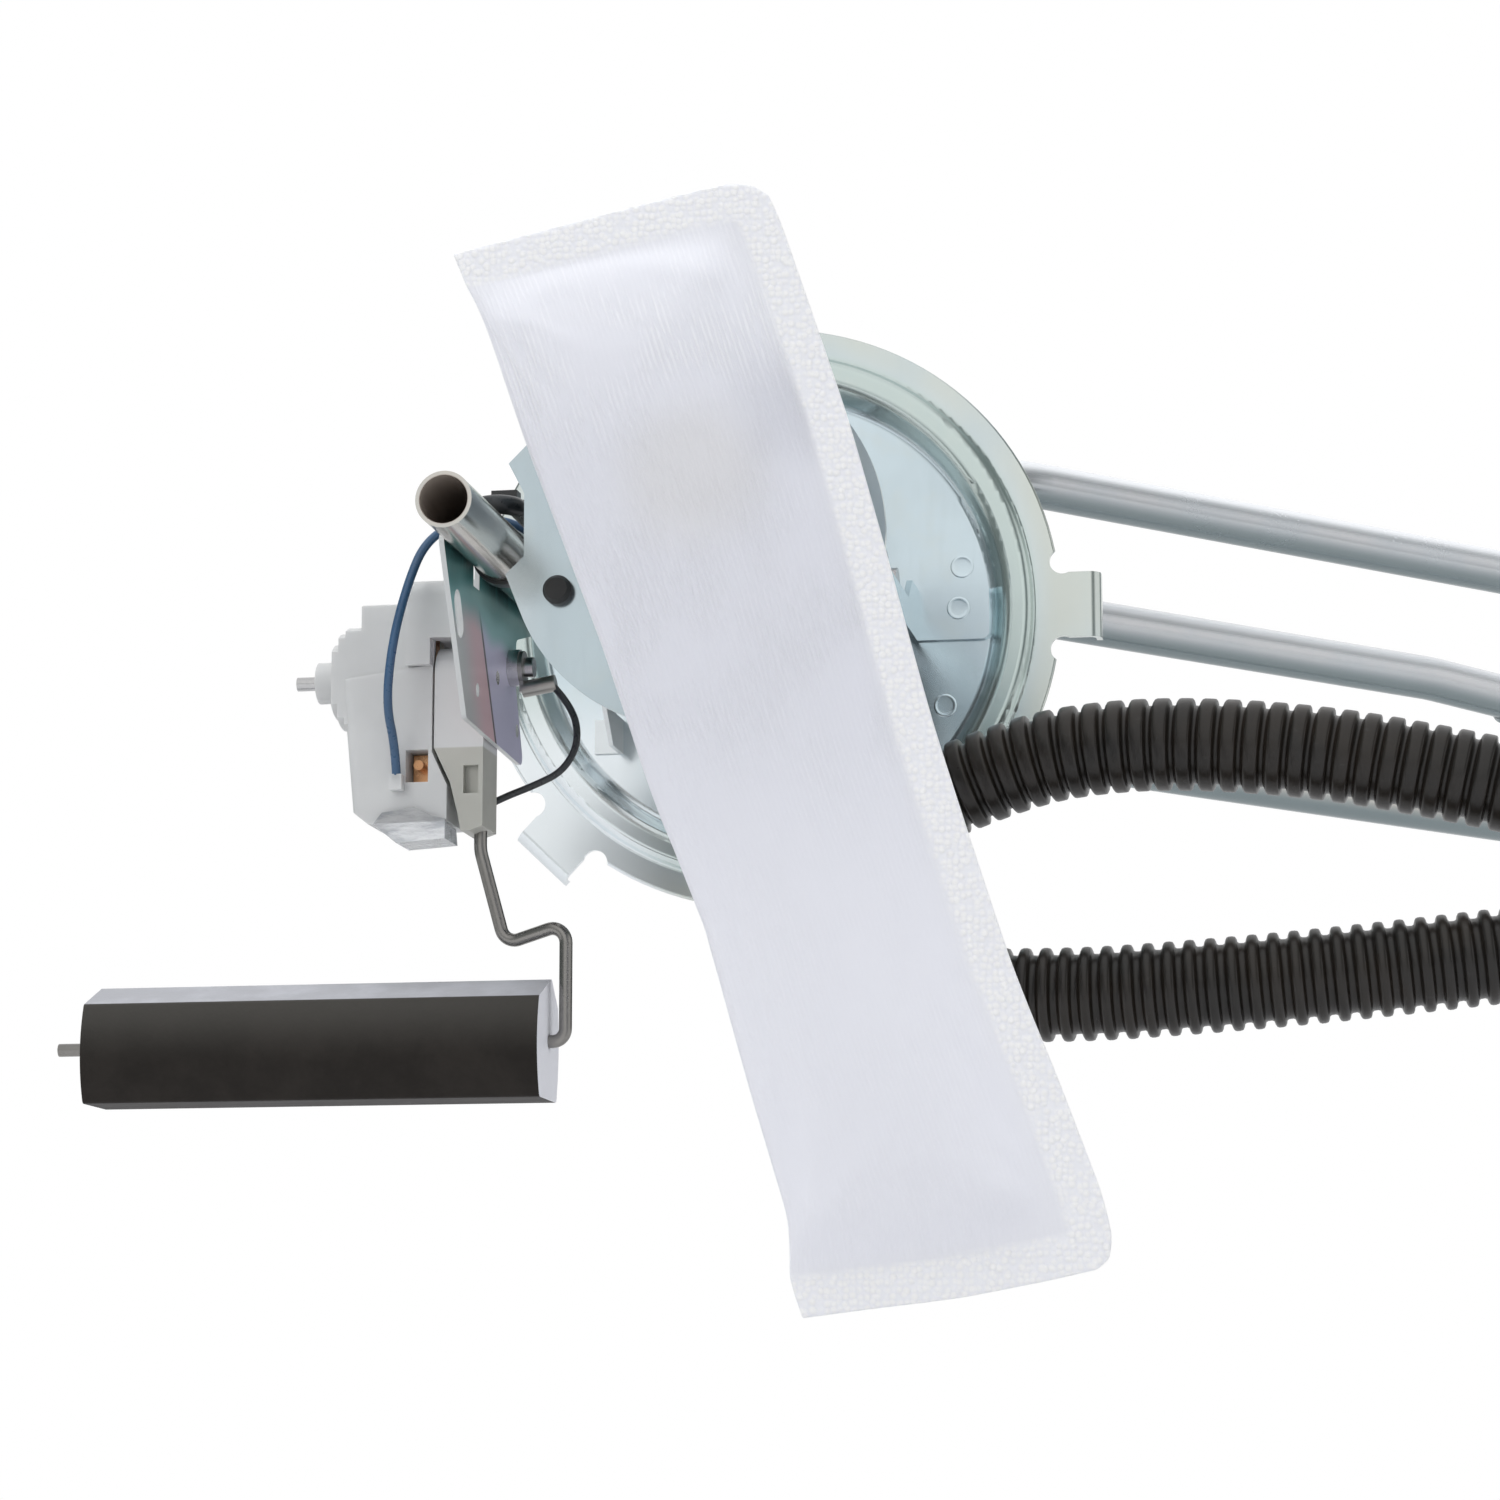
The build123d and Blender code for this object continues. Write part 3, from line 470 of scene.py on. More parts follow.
def moulded_finish(name, colour, roughness, texture, depth_mm, glow=0.0, mottling=0.12):
    """Moulded plastic or rubber: slightly uneven colour, a fine texture and patchy gloss."""
    material, tree = new_finish(name)
    where = place(tree)
    cloud = grain(tree, where, 60.0, 3.0, 0.5)
    fine = grain(tree, where, texture, 2.0, 0.6)
    if glow:
        finished(material, {
            "Subsurface Weight": glow, "Subsurface Scale": 2.5 * MM, "Subsurface Radius": (1.0, 0.95, 0.9)})
    return finished(material, {
        "Base Color": blended(
            tree, faded(tree, cloud, 0.35, 0.65), toned(colour, 1.0 + mottling), toned(colour, 1.0 - mottling)),
        "Roughness": scaled(tree, fine, 0.2, roughness - 0.1),
        "Normal": relief(tree, fine, depth_mm * MM, 0.5),
    })


def foam_finish(name, colour):
    """Closed-cell nitrile foam with its moulded skin: tiny open cells, painted light that lightens the front towards
    the top, a pale top facet of dust and painted sheen, and a painted highlight on the end facing +x.
    """
    material, tree = new_finish(name)
    where = place(tree)
    cells = put(tree, "TexVoronoi", {"Vector": where, "Scale": 1500.0}, feature="F1").outputs["Distance"]
    cloud = grain(tree, where, 90.0, 4.0, 0.6)
    drawn = grain(tree, stretched(tree, where, (0.06, 1.0, 1.0)), 900.0, 3.0, 0.6)
    sideways, back, up = facing(tree)
    top = product(tree, faded(tree, up, 0.80, 0.90), faded(tree, back, 0.1, -0.1))
    base = blended(tree, faded(tree, cloud, 0.35, 0.7), colour, toned(colour, 1.45))
    for mask, shade in (
        # Painted light: the front is lighter towards the top.
        (faded(tree, parted(tree, where)[2], -0.101, -0.0895, 0.0, 0.7), (0.080, 0.077, 0.070)),
        # Dust and painted sheen: the top facet is painted pale grey, as its grazing reflection.
        (product(tree, top, faded(tree, cloud, 0.3, 0.6, 1.0, 0.82)), (0.52, 0.53, 0.57)),
        # Painted highlight: the end facing +x is painted nearly white, as where it is strongly lit.
        (faded(tree, sideways, 0.8, 0.95), (0.82, 0.83, 0.88)),
    ):
        base = blended(tree, mask, base, shade)
    skin = relief(tree, drawn, 0.05 * MM, 0.3)
    return finished(material, {
        "Base Color": base,
        "Roughness": scaled(tree, drawn, 0.2, 0.38),
        "Specular IOR Level": 0.12,
        "Normal": relief(tree, cells, 0.12 * MM, 0.3, skin),
    })


def clear_finish(name):
    """Clear moulding: nearly colourless, with flow lines and grey shadows in it."""
    material, tree = new_finish(name)
    flow = grain(tree, stretched(tree, place(tree), (0.35, 1.0, 1.0), (0.0, 0.3, 0.0)), 520.0, 4.0, 0.6)
    return finished(material, {
        "Base Color": banded(tree, flow, [
            (0.35, (0.62, 0.65, 0.68)), (0.5, (0.88, 0.90, 0.92)), (0.62, (0.97, 0.98, 1.0))]),
        "Roughness": faded(tree, flow, 0.3, 0.7, 0.08, 0.2),
        "Transmission Weight": 0.6,
        "IOR": 1.49,
        "Normal": relief(tree, flow, 0.5 * MM, 0.8),
    })


def strainer_cloth(name, settings):
    """Woven strainer cloth: broken ribs along the bag, pressed studs in the welded seam, painted shade in the middle of
    the bag, a painted shadow of the hub and painted shade in the hollow beside it.
    """
    material, tree = new_finish(name)
    across, along, _ = parted(tree, put(tree, "UVMap", uv_map="cloth").outputs[0])
    seam = put(tree, "Attribute", attribute_name="seam").outputs["Fac"]
    where = place(tree)
    drift = grain(tree, where, 120.0, 3.0, 0.6)
    # UV is in decimetres, so a pitch in metres is ten times as large there
    pitch = settings.rib_pitch * 10
    column = scaled(tree, across, 1 / pitch, product(tree, drift, 0.35))
    ribs = scaled(tree, calc(tree, "SINE", product(tree, column, 2 * math.pi)), 0.5, 0.5)
    thread_place = put(
        tree, "CombineXYZ", {0: product(tree, across, 1.1 / pitch), 1: product(tree, along, 17.0)}).outputs[0]
    floats = grain(tree, thread_place, 1.0, 2.0, 0.5)
    shown = grain(tree, where, 60.0, 2.0, 0.5)
    weave = ribs
    for share in (
        product(tree, faded(tree, shown, 0.35, 0.58, 0.2, 1.0), faded(tree, floats, 0.35, 0.55, 0.1, 1.0)),
        product(tree, faded(tree, along, 0.10, 0.30, 0.4, 1.0), faded(tree, along, 1.15, 0.80, 0.25, 1.0)),
    ):
        weave = product(tree, weave, share)
    threads = grain(tree, stretched(tree, where, (1.0, 1.0, 0.25), (0.0, math.radians(-17), 0.0)), 2600.0, 2.0, 0.6)
    cells = put(
        tree, "TexVoronoi", {"Vector": where, "Scale": 1 / settings.stud_pitch, "Randomness": 0.6}, feature="F1")
    studs = faded(tree, cells.outputs["Distance"], 0.80, 0.25)
    cloth = tuple(settings.colour)
    # Painted shade: the middle of the bag, along its length, is painted greyer.
    painted_shade_middle = product(tree, faded(tree, along, 0.15, 0.50), faded(tree, along, 1.35, 0.80))
    body = blended(tree, faded(tree, weave, 0.1, 0.9), toned(cloth, 0.95), toned(cloth, 1.06))
    for mask, colour in (
        (faded(tree, drift, 0.3, 0.75, 0.0, 0.2), toned(cloth, 0.93)),
        (product(tree, painted_shade_middle, 0.75), (0.75, 0.76, 0.82)),
        # Painted shadow of the hub: a warm grey patch on the front of the bag.
        (faded(tree, reach_from(tree, where, HUB_SHADOW), 0.017, 0.005, 0.0, 0.45), (0.72, 0.71, 0.70)),
        # Painted shade in the hollow beside the hub.
        (faded(tree, reach_from(tree, where, HOLLOW_SHADE), 0.016, 0.002, 0.0, 0.55), (0.60, 0.61, 0.67)),
    ):
        body = blended(tree, mask, body, colour)
    welded = blended(tree, studs, (0.91, 0.92, 0.97), (1.0, 1.0, 1.0))
    height = put(tree, "Mix", {0: seam, 2: weave, 3: studs}, data_type="FLOAT").outputs[0]
    return finished(material, {
        "Base Color": blended(tree, seam, body, welded),
        "Roughness": scaled(tree, seam, -0.3, 0.8),
        "Subsurface Weight": 0.25,
        "Subsurface Scale": 3.0 * MM,
        "Subsurface Radius": (1.0, 1.0, 1.0),
        "Sheen Weight": 0.12,
        "Normal": relief(tree, threads, 0.06 * MM, 0.4, relief(tree, height, 0.30 * MM, 0.6)),
    })


def hose_finish(name, colour):
    """Matte black corrugated hose: brownish where it is worn, with a soft plastic gloss."""
    material, tree = new_finish(name)
    where = place(tree)
    cloud = grain(tree, where, 70.0, 4.0, 0.6)
    fine = grain(tree, where, 1400.0, 2.0, 0.6)
    scuffs = grain(tree, stretched(tree, where, (0.4, 1.0, 1.0)), 500.0, 4.0, 0.7)
    base = blended(tree, faded(tree, cloud, 0.35, 0.65), colour, toned(colour, (1.35, 1.2, 1.05)))
    return finished(material, {
        "Base Color": blended(tree, faded(tree, scuffs, 0.60, 0.78, 0.0, 0.35), base, (0.05, 0.049, 0.047)),
        "Roughness": scaled(tree, fine, 0.14, 0.24),
        "Specular IOR Level": 0.45,
        "Normal": relief(tree, fine, 0.05 * MM, 0.4),
    })


def finish_parts(finish, *names):
    """Gives the finish to the named rigid parts."""
    for name in names:
        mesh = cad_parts[name].data
        mesh.materials.clear()
        mesh.materials.append(finish)


# ---------------------------------------------------------------- shape helpers

def add_object(name, data):
    added = bpy.data.objects.new(name, data)
    bpy.context.scene.collection.objects.link(added)
    return added


def add_piece(name, mesh, finish):
    """A new mesh piece that stays with the flange and takes its slot's finish."""
    piece = add_object(name, mesh)
    mesh.materials.append(finish)
    shade_smooth(mesh)
    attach(piece, "base")
    return piece


def shade_smooth(mesh):
    for face in mesh.polygons:
        face.use_smooth = True


def mesh_from(name, shape):
    """Turns a finished shape into a mesh, with its faces pointing outwards."""
    bmesh.ops.recalc_face_normals(shape, faces=shape.faces)
    mesh = bpy.data.meshes.new(name)
    shape.to_mesh(mesh)
    shape.free()
    return mesh


def add_ring(shape, centre, side, up, radius, segments):
    """A ring of corners round a centre."""
    ring = []
    for index in range(segments):
        angle = 2 * math.pi * index / segments
        ring.append(shape.verts.new(centre + side * (radius * math.cos(angle)) + up * (radius * math.sin(angle))))
    return ring


def flexible_line(name, route, radius=0.0):
    """A smooth curve along a route."""
    curve = bpy.data.curves.new(name, "CURVE")
    curve.dimensions = "3D"
    curve.resolution_u = 16
    curve.bevel_depth = radius
    curve.bevel_resolution = 5
    curve.use_fill_caps = True
    spline = curve.splines.new("NURBS")
    spline.points.add(len(route) - 1)
    for point, place_on_route in zip(spline.points, route):
        point.co = (*place_on_route, 1.0)
    spline.order_u = 3
    spline.use_endpoint_u = True
    return add_object(name, curve)


def centreline(name, route):
    """The points of a route's smooth curve, in order."""
    line = flexible_line(name + "_centre", route)
    bpy.context.view_layer.update()
    mesh = bpy.data.meshes.new_from_object(line)
    points = [vertex.co.copy() for vertex in mesh.vertices]
    bpy.data.meshes.remove(mesh)
    bpy.data.objects.remove(line)
    return points


def polyline_length(points):
    return sum((b - a).length for a, b in zip(points, points[1:]))


class Walker:
    """Walks along a centreline and gives the place and square axes at a distance."""

    def __init__(self, points):
        self.points = points
        self.reach = [0.0]
        for a, b in zip(points, points[1:]):
            self.reach.append(self.reach[-1] + (b - a).length)
        self.tangents = []
        for index in range(len(points)):
            before, after = points[max(index - 1, 0)], points[min(index + 1, len(points) - 1)]
            self.tangents.append((after - before).normalized())
        side = self.tangents[0].cross(Vector((0, 0, 1))).normalized()
        self.sides = []
        for tangent in self.tangents:
            side = (side - tangent * side.dot(tangent)).normalized()
            self.sides.append(side.copy())

    def at(self, distance):
        index = 0
        while index < len(self.reach) - 2 and self.reach[index + 1] < distance:
            index += 1
        span = self.reach[index + 1] - self.reach[index]
        share = (distance - self.reach[index]) / span
        centre = self.points[index].lerp(self.points[index + 1], share)
        tangent = self.tangents[index].lerp(self.tangents[index + 1], share).normalized()
        side = self.sides[index].lerp(self.sides[index + 1], share)
        side = (side - tangent * side.dot(tangent)).normalized()
        return centre, side, tangent.cross(side)


def sweep_rings(name, points, stations, segments):
    """A closed tube skinned through rings: each station is a distance along the line and a radius."""
    walker = Walker(points)
    skin = bmesh.new()
    rings = [add_ring(skin, *walker.at(distance), radius, segments) for distance, radius in stations]
    rings.append(rings[0])
    for ring, following in zip(rings, rings[1:]):
        for index in range(segments):
            after = (index + 1) % segments
            skin.faces.new((ring[index], ring[after], following[after], following[index]))
    return mesh_from(name, skin)


def hose_stations(length, pitch, profile, crest, root, bore):
    """The hose from its first crest to its last, with a plain cuff at each end, then back along the bore."""
    ribbed = length - 2 * CUFF
    count = int(ribbed / pitch)
    stations = [(0.0, crest)]
    for index in range(count):
        for share, rise in profile:
            stations.append((CUFF + (index + share) * ribbed / count, root + (crest - root) * rise))
    stations += [(length - CUFF, crest), (length, crest)]
    stations += [(length * (1 - index / BORE_STEPS), bore) for index in range(BORE_STEPS + 1)]
    return stations


def line_through(points, share):
    """The place at a share of the whole length of a line of (x, z) points, rounded between them."""
    lengths = [0.0]
    for (ax, az), (bx, bz) in zip(points, points[1:]):
        lengths.append(lengths[-1] + math.hypot(bx - ax, bz - az))
    wanted = share * lengths[-1]
    index = 0
    while index < len(points) - 2 and lengths[index + 1] < wanted:
        index += 1
    t = (wanted - lengths[index]) / (lengths[index + 1] - lengths[index])
    before, after = points[max(index - 1, 0)], points[min(index + 2, len(points) - 1)]
    start, end = points[index], points[index + 1]
    result = []
    for axis in (0, 1):
        p0, p1, p2, p3 = before[axis], start[axis], end[axis], after[axis]
        cubic = p1 + 0.5 * t * (p2 - p0 + t * (2 * p0 - 5 * p1 + 4 * p2 - p3 + t * (3 * (p1 - p2) + p3 - p0)))
        straight = p1 + (p2 - p1) * t
        result.append(0.5 * cubic + 0.5 * straight)
    return result


def eased(value):
    value = min(max(value, 0.0), 1.0)
    return value * value * (3 - 2 * value)


def bag_place(u, v):
    """The (x, z) place, in mm, of a share across and along the bag."""
    top, bottom = line_through(BAG_TOP, u), line_through(BAG_BOTTOM, u)
    left, right = line_through(BAG_LEFT, v), line_through(BAG_RIGHT, v)
    corners = BAG_TOP[0], BAG_TOP[-1], BAG_BOTTOM[0], BAG_BOTTOM[-1]
    spot = []
    for axis in (0, 1):
        flat = (1 - u) * (1 - v) * corners[0][axis] + u * (1 - v) * corners[1][axis]
        flat += (1 - u) * v * corners[2][axis] + u * v * corners[3][axis]
        edges = (1 - v) * top[axis] + v * bottom[axis] + (1 - u) * left[axis] + u * right[axis]
        spot.append(edges - flat)
    return spot


def spaced(count, dense):
    """Shares from 0 to 1, closer together near both ends."""
    shares = []
    for index in range(count + 1):
        t = index / count
        shares.append(t - dense * math.sin(2 * math.pi * t) / (2 * math.pi))
    return shares


def edge_distance(point, edge):
    """How far, in mm, an (x, z) point is from a line of points."""
    nearest = 1e9
    for (ax, az), (bx, bz) in zip(edge, edge[1:]):
        dx, dz = bx - ax, bz - az
        t = ((point[0] - ax) * dx + (point[1] - az) * dz) / (dx * dx + dz * dz)
        t = min(max(t, 0.0), 1.0)
        nearest = min(nearest, math.hypot(point[0] - ax - t * dx, point[1] - az - t * dz))
    return nearest


def bag_mesh(settings, centre_y):
    """The strainer bag as a closed shell: welded along the top, right and bottom, folded along the left."""
    columns, rows = spaced(settings.across, 0.45), spaced(settings.along, 0.35)
    seam = settings.seam_width / MM
    flat, full = settings.seam_thickness / 2, settings.thickness / 2
    shell = bmesh.new()
    weld = shell.verts.layers.float.new("seam")
    cloth = shell.loops.layers.uv.new("cloth")
    places = {}
    sides = []
    for side in (-1, 1):
        grid = []
        for v in rows:
            line = []
            for u in columns:
                x, z = bag_place(u, v)
                reaches = [edge_distance((x, z), edge) for edge in (BAG_TOP, BAG_RIGHT, BAG_BOTTOM)]
                fold = min(edge_distance((x, z), BAG_LEFT) / FOLD_ROUND, 1.0)
                rise = math.prod(eased((reach - seam) / BAG_RISE) for reach in reaches)
                curl = math.sqrt(max(0.0, 1 - (1 - fold) ** 2))
                dip = DIP_DEPTH * math.exp(-((u - DIP_PLACE[0]) / DIP_SPREAD[0]) ** 2)
                dip *= math.exp(-((v - DIP_PLACE[1]) / DIP_SPREAD[1]) ** 2)
                half = flat + (full - flat) * rise * curl * (1 - dip)
                vertex = shell.verts.new((x * MM, centre_y + side * half, z * MM))
                vertex[weld] = 1.0 - eased((min(reaches) - seam) / SEAM_FADE + 0.5)
                places[vertex] = (u * CLOTH_SIZE[0], v * CLOTH_SIZE[1])
                line.append(vertex)
            grid.append(line)
        sides.append(grid)
    front, back = sides
    last_column, last_row = len(columns) - 1, len(rows) - 1
    for row in range(last_row):
        for column in range(last_column):
            for grid in sides:
                shell.faces.new((
                    grid[row][column], grid[row][column + 1], grid[row + 1][column + 1], grid[row + 1][column]))
        for column in (0, last_column):
            shell.faces.new((
                front[row][column], front[row + 1][column], back[row + 1][column], back[row][column]))
    for column in range(last_column):
        for row in (0, last_row):
            shell.faces.new((
                front[row][column], back[row][column], back[row][column + 1], front[row][column + 1]))
    for face in shell.faces:
        for loop in face.loops:
            loop[cloth].uv = places[loop.vert]
    return mesh_from("strainer_bag", shell)


def blow_out(piece, limit):
    """Blows the bag out with cloth simulation, its welded seam held still, and applies the result."""
    mesh = piece.data
    seam = [item.value for item in mesh.attributes["seam"].data]
    held = piece.vertex_groups.new(name="held")
    for index, share in enumerate(seam):
        if share > 0.02:
            held.add([index], min(1.0, share * 1.5), "REPLACE")
    start = [vertex.co.copy() for vertex in mesh.vertices]
    cloth = piece.modifiers.new("blown", "CLOTH")
    for name, value in CLOTH.items():
        setattr(cloth.settings, name, value)
    cloth.settings.effector_weights.gravity = 0.0
    cloth.collision_settings.use_collision = False
    cloth.point_cache.frame_start = 1
    cloth.point_cache.frame_end = CLOTH_FRAMES
    scene = bpy.context.scene
    for step in range(1, CLOTH_FRAMES + 1):
        scene.frame_set(step)
    bpy.context.view_layer.update()
    blown = piece.evaluated_get(bpy.context.evaluated_depsgraph_get())
    ends = [vertex.co.copy() for vertex in blown.data.vertices]
    piece.modifiers.remove(cloth)
    scene.frame_set(1)
    for vertex, old, new in zip(mesh.vertices, start, ends):
        move = new - old
        if move.length > limit:
            move *= limit / move.length
        vertex.co = old + move
    piece.vertex_groups.clear()
    mesh.update()


def smooth_over(piece):
    """Applies one level of subdivision to a piece."""
    finer = piece.modifiers.new("finer", "SUBSURF")
    finer.levels = finer.render_levels = 1
    evaluated = piece.evaluated_get(bpy.context.evaluated_depsgraph_get())
    mesh = bpy.data.meshes.new_from_object(evaluated)
    piece.modifiers.remove(finer)
    old = piece.data
    piece.data = mesh
    bpy.data.meshes.remove(old)
    shade_smooth(mesh)


def lathe_mesh(name, profile, centre, axis, segments):
    """A turned shape: each profile point is a radius and a height along the axis, in metres."""
    axis = Vector(axis).normalized()
    side = axis.orthogonal().normalized()
    other = axis.cross(side)
    turned = bmesh.new()
    rings = []
    for radius, height in profile:
        base = Vector(centre) + axis * height
        rings.append(add_ring(turned, base, side, other, radius, segments) if radius else [turned.verts.new(base)])
    for ring, following in zip(rings, rings[1:]):
        for index in range(segments):
            after = (index + 1) % segments
            corners = [ring[index % len(ring)], ring[after % len(ring)]]
            corners += [following[after % len(following)], following[index % len(following)]]
            turned.faces.new(list(dict.fromkeys(corners)))
    return mesh_from(name, turned)


# ---------------------------------------------------------------- operators

class FUELPUMP_OT_studio(bpy.types.Operator):
    """Camera, lamps, room light and floor"""
    bl_idname = "fuelpump.studio"
    bl_label = "Studio"

    def execute(self, context):
        studio = context.scene.fuelpump_studio
        self.add_camera(context.scene, studio)
        self.add_room(context.scene, studio)
        self.add_floor(studio)
        centre = Vector((0.03, -0.05, -0.04))
        self.add_lamp("overhead_box", (-0.15, -0.25, 0.95), centre, 0.9, studio.key_power)
        self.add_lamp("front_box", (-0.55, -1.05, 0.30), centre, 0.7, studio.fill_power)
        self.add_lamp("side_box", (0.95, -0.25, 0.35), centre, 0.6, studio.side_power)
        return {"FINISHED"}

    def add_camera(self, scene, studio):
        data = bpy.data.cameras.new("camera")
        data.lens = studio.lens
        data.sensor_width = 36.0
        data.clip_start = 0.01
        camera = add_object("camera", data)
        around, rise = studio.camera_azimuth, studio.camera_elevation
        back = Vector((math.sin(around) * math.cos(rise), -math.cos(around) * math.cos(rise), math.sin(rise)))
        camera.location = studio.camera_place
        camera.rotation_euler = back.to_track_quat("Z", "Y").to_euler()
        scene.camera = camera
        scene.view_settings.view_transform = "Standard"

    def add_room(self, scene, studio):
        world = bpy.data.worlds.new("room")
        world.use_nodes = True
        scene.world = world
        tree = world.node_tree
        tree.nodes.clear()
        across, _, height = parted(tree, put(tree, "TexCoord").outputs["Generated"])
        dark_side = product(tree, faded(tree, calc(tree, "ABSOLUTE", across), 0.30, 0.62, 0.0, 0.9),
                            faded(tree, across, 0.90, 0.74, 0.15, 1.0))
        mirrored = banded(tree, scaled(tree, height, 0.5, 0.5), [
            (0.0, (0.50, 0.51, 0.53)), (0.28, (0.22, 0.23, 0.24)), (0.45, (0.55, 0.56, 0.57)),
            (0.57, (0.96, 0.96, 0.96)), (0.80, (1.0, 1.0, 1.0)), (1.0, (0.85, 0.85, 0.86)),
        ])
        mirrored = blended(tree, dark_side, mirrored, (0.10, 0.125, 0.125))
        seen, shown = ray_masks(tree)
        bright = blended(tree, seen, mirrored, (1.0, 1.0, 1.0))
        backdrop = put(tree, "Background", {"Color": bright, "Strength": 1.0})
        light = put(tree, "Background", {"Color": (0.97, 0.98, 1.0), "Strength": studio.sky_level})
        mix = put(tree, "MixShader", {0: shown, 1: light.outputs[0], 2: backdrop.outputs[0]})
        output = tree.nodes.new("ShaderNodeOutputWorld")
        tree.links.new(mix.outputs[0], output.inputs[0])

    def add_floor(self, studio):
        disc = lathe_mesh("floor", [(0.0, 0.0), (0.3, 0.0), (0.9, 0.0), (studio.floor_radius, 0.0)],
                          (0.0, 0.0, studio.floor_height), (0, 0, 1), 96)
        floor = add_object("floor", disc)
        material, tree = new_finish("studio_floor")
        where = place(tree)
        speckle = grain(tree, where, 60.0, 3.0, 0.5)
        colour = studio.floor_colour
        finished(material, {"Base Color": blended(tree, speckle, colour, toned(colour, 1.03)), "Roughness": 0.7})
        far = faded(tree, reach_from(tree, where, (0.0, 0.0, 0.0)), 0.45, 1.3)
        white = put(tree, "Emission", {"Color": (1.0, 1.0, 1.0), "Strength": 1.0})
        matte = tree.nodes["Principled BSDF"]
        fading = product(tree, far, ray_masks(tree)[1])
        mix = put(tree, "MixShader", {0: fading, 1: matte.outputs[0], 2: white.outputs[0]})
        tree.links.new(mix.outputs[0], tree.nodes["Material Output"].inputs[0])
        disc.materials.append(material)

    def add_lamp(self, name, location, target, size, power):
        data = bpy.data.lights.new(name, "AREA")
        data.shape = "DISK"
        data.size = size
        data.energy = power
        lamp = add_object(name, data)
        lamp.location = location
        lamp.rotation_euler = (Vector(location) - target).to_track_quat("Z", "Y").to_euler()
        lamp.visible_glossy = False


class FUELPUMP_OT_hoses(bpy.types.Operator):
    """The two corrugated hoses with their end fittings and spigots"""
    bl_idname = "fuelpump.hoses"
    bl_label = "Corrugated hoses"

    def execute(self, context):
        settings = context.scene.fuelpump_hoses
        finish = hose_finish("hose_plastic", settings.colour)
        self.add_hose("upper_hose", UPPER_HOSE_ROUTE, settings.upper_pitch, UPPER_RIB, settings, finish)
        self.add_hose("lower_hose", LOWER_HOSE_ROUTE, settings.lower_pitch, LOWER_RIB, settings, finish)
        fitting = moulded_finish("fitting_plastic", (0.032, 0.031, 0.030), 0.42, 700.0, 0.04)
        finish_parts(fitting, "upper_hose_end", "lower_hose_end", "upper_hose_spigot", "lower_hose_spigot")
        return {"FINISHED"}

    def add_hose(self, node, route, pitch, rib, settings, finish):
        points = centreline(node, route)
        length = polyline_length(points)
        stations = hose_stations(
            length, pitch, rib, settings.diameter / 2, settings.root_diameter / 2, settings.bore / 2)
        mesh = sweep_rings(node + "_ribbed", points, stations, settings.segments)
        hose = add_piece(node + "_ribbed", mesh, finish)
        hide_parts(node)


class FUELPUMP_OT_wires(bpy.types.Operator):
    """The sender and ground wires, the pump lead and their terminals"""
    bl_idname = "fuelpump.wires"
    bl_label = "Wires and terminals"

    def execute(self, context):
        settings = context.scene.fuelpump_wires
        blue = moulded_finish("blue_sleeve", settings.sender_colour, 0.30, 1200.0, 0.02)
        black = moulded_finish("black_sleeve", settings.ground_colour, 0.30, 1200.0, 0.02)
        self.add_wire("sender_wire", SENDER_WIRE_ROUTE, settings.sender_wire, blue, "wire_blue")
        self.add_wire("ground_wire", GROUND_WIRE_ROUTE, settings.ground_wire, black, "wire_black")
        finish_parts(black, "pump_lead")
        tinned = steel_finish("tinned_terminal", (0.66, 0.66, 0.64), 0.26, (0.96, 0.97, 1.02))
        finish_parts(steel_finish("dull_tin", (0.36, 0.35, 0.33), 0.3, (0.9, 0.92, 0.95)), "ring_terminal")
        finish_parts(tinned, "pump_terminal_left", "pump_terminal_right", "connector_blades")
        finish_parts(moulded_finish("tie_plastic", (0.035, 0.035, 0.036), 0.38, 900.0, 0.03), "cable_tie", "pump_plug")
        return {"FINISHED"}

    def add_wire(self, node, route, diameter, finish, slot):
        length = polyline_length(centreline(node, route))
        wire = flexible_line(node + "_run", route, diameter / 2)
        wire.data.materials.append(finish)
        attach(wire, "base")
        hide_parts(node)


class FUELPUMP_OT_strainer(bpy.types.Operator):
    """The strainer bag with its frame, hub and lock ring"""
    bl_idname = "fuelpump.strainer"
    bl_label = "Strainer"

    def execute(self, context):
        settings = context.scene.fuelpump_bag
        low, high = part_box("strainer_sock")
        centre_y = (low.y + high.y) / 2
        cloth = strainer_cloth("strainer_cloth", settings)
        bag = add_piece("strainer_bag", bag_mesh(settings, centre_y), cloth)
        blow_out(bag, settings.billow)
        smooth_over(bag)
        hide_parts("strainer_sock")
        nylon = moulded_finish("strainer_nylon", (0.60, 0.60, 0.58), 0.42, 700.0, 0.03, 0.1)
        finish_parts(nylon, "strainer_frame", "strainer_hub")
        finish_parts(steel_finish("lock_ring_steel", (0.55, 0.56, 0.57), 0.28), "strainer_ring")
        return {"FINISHED"}


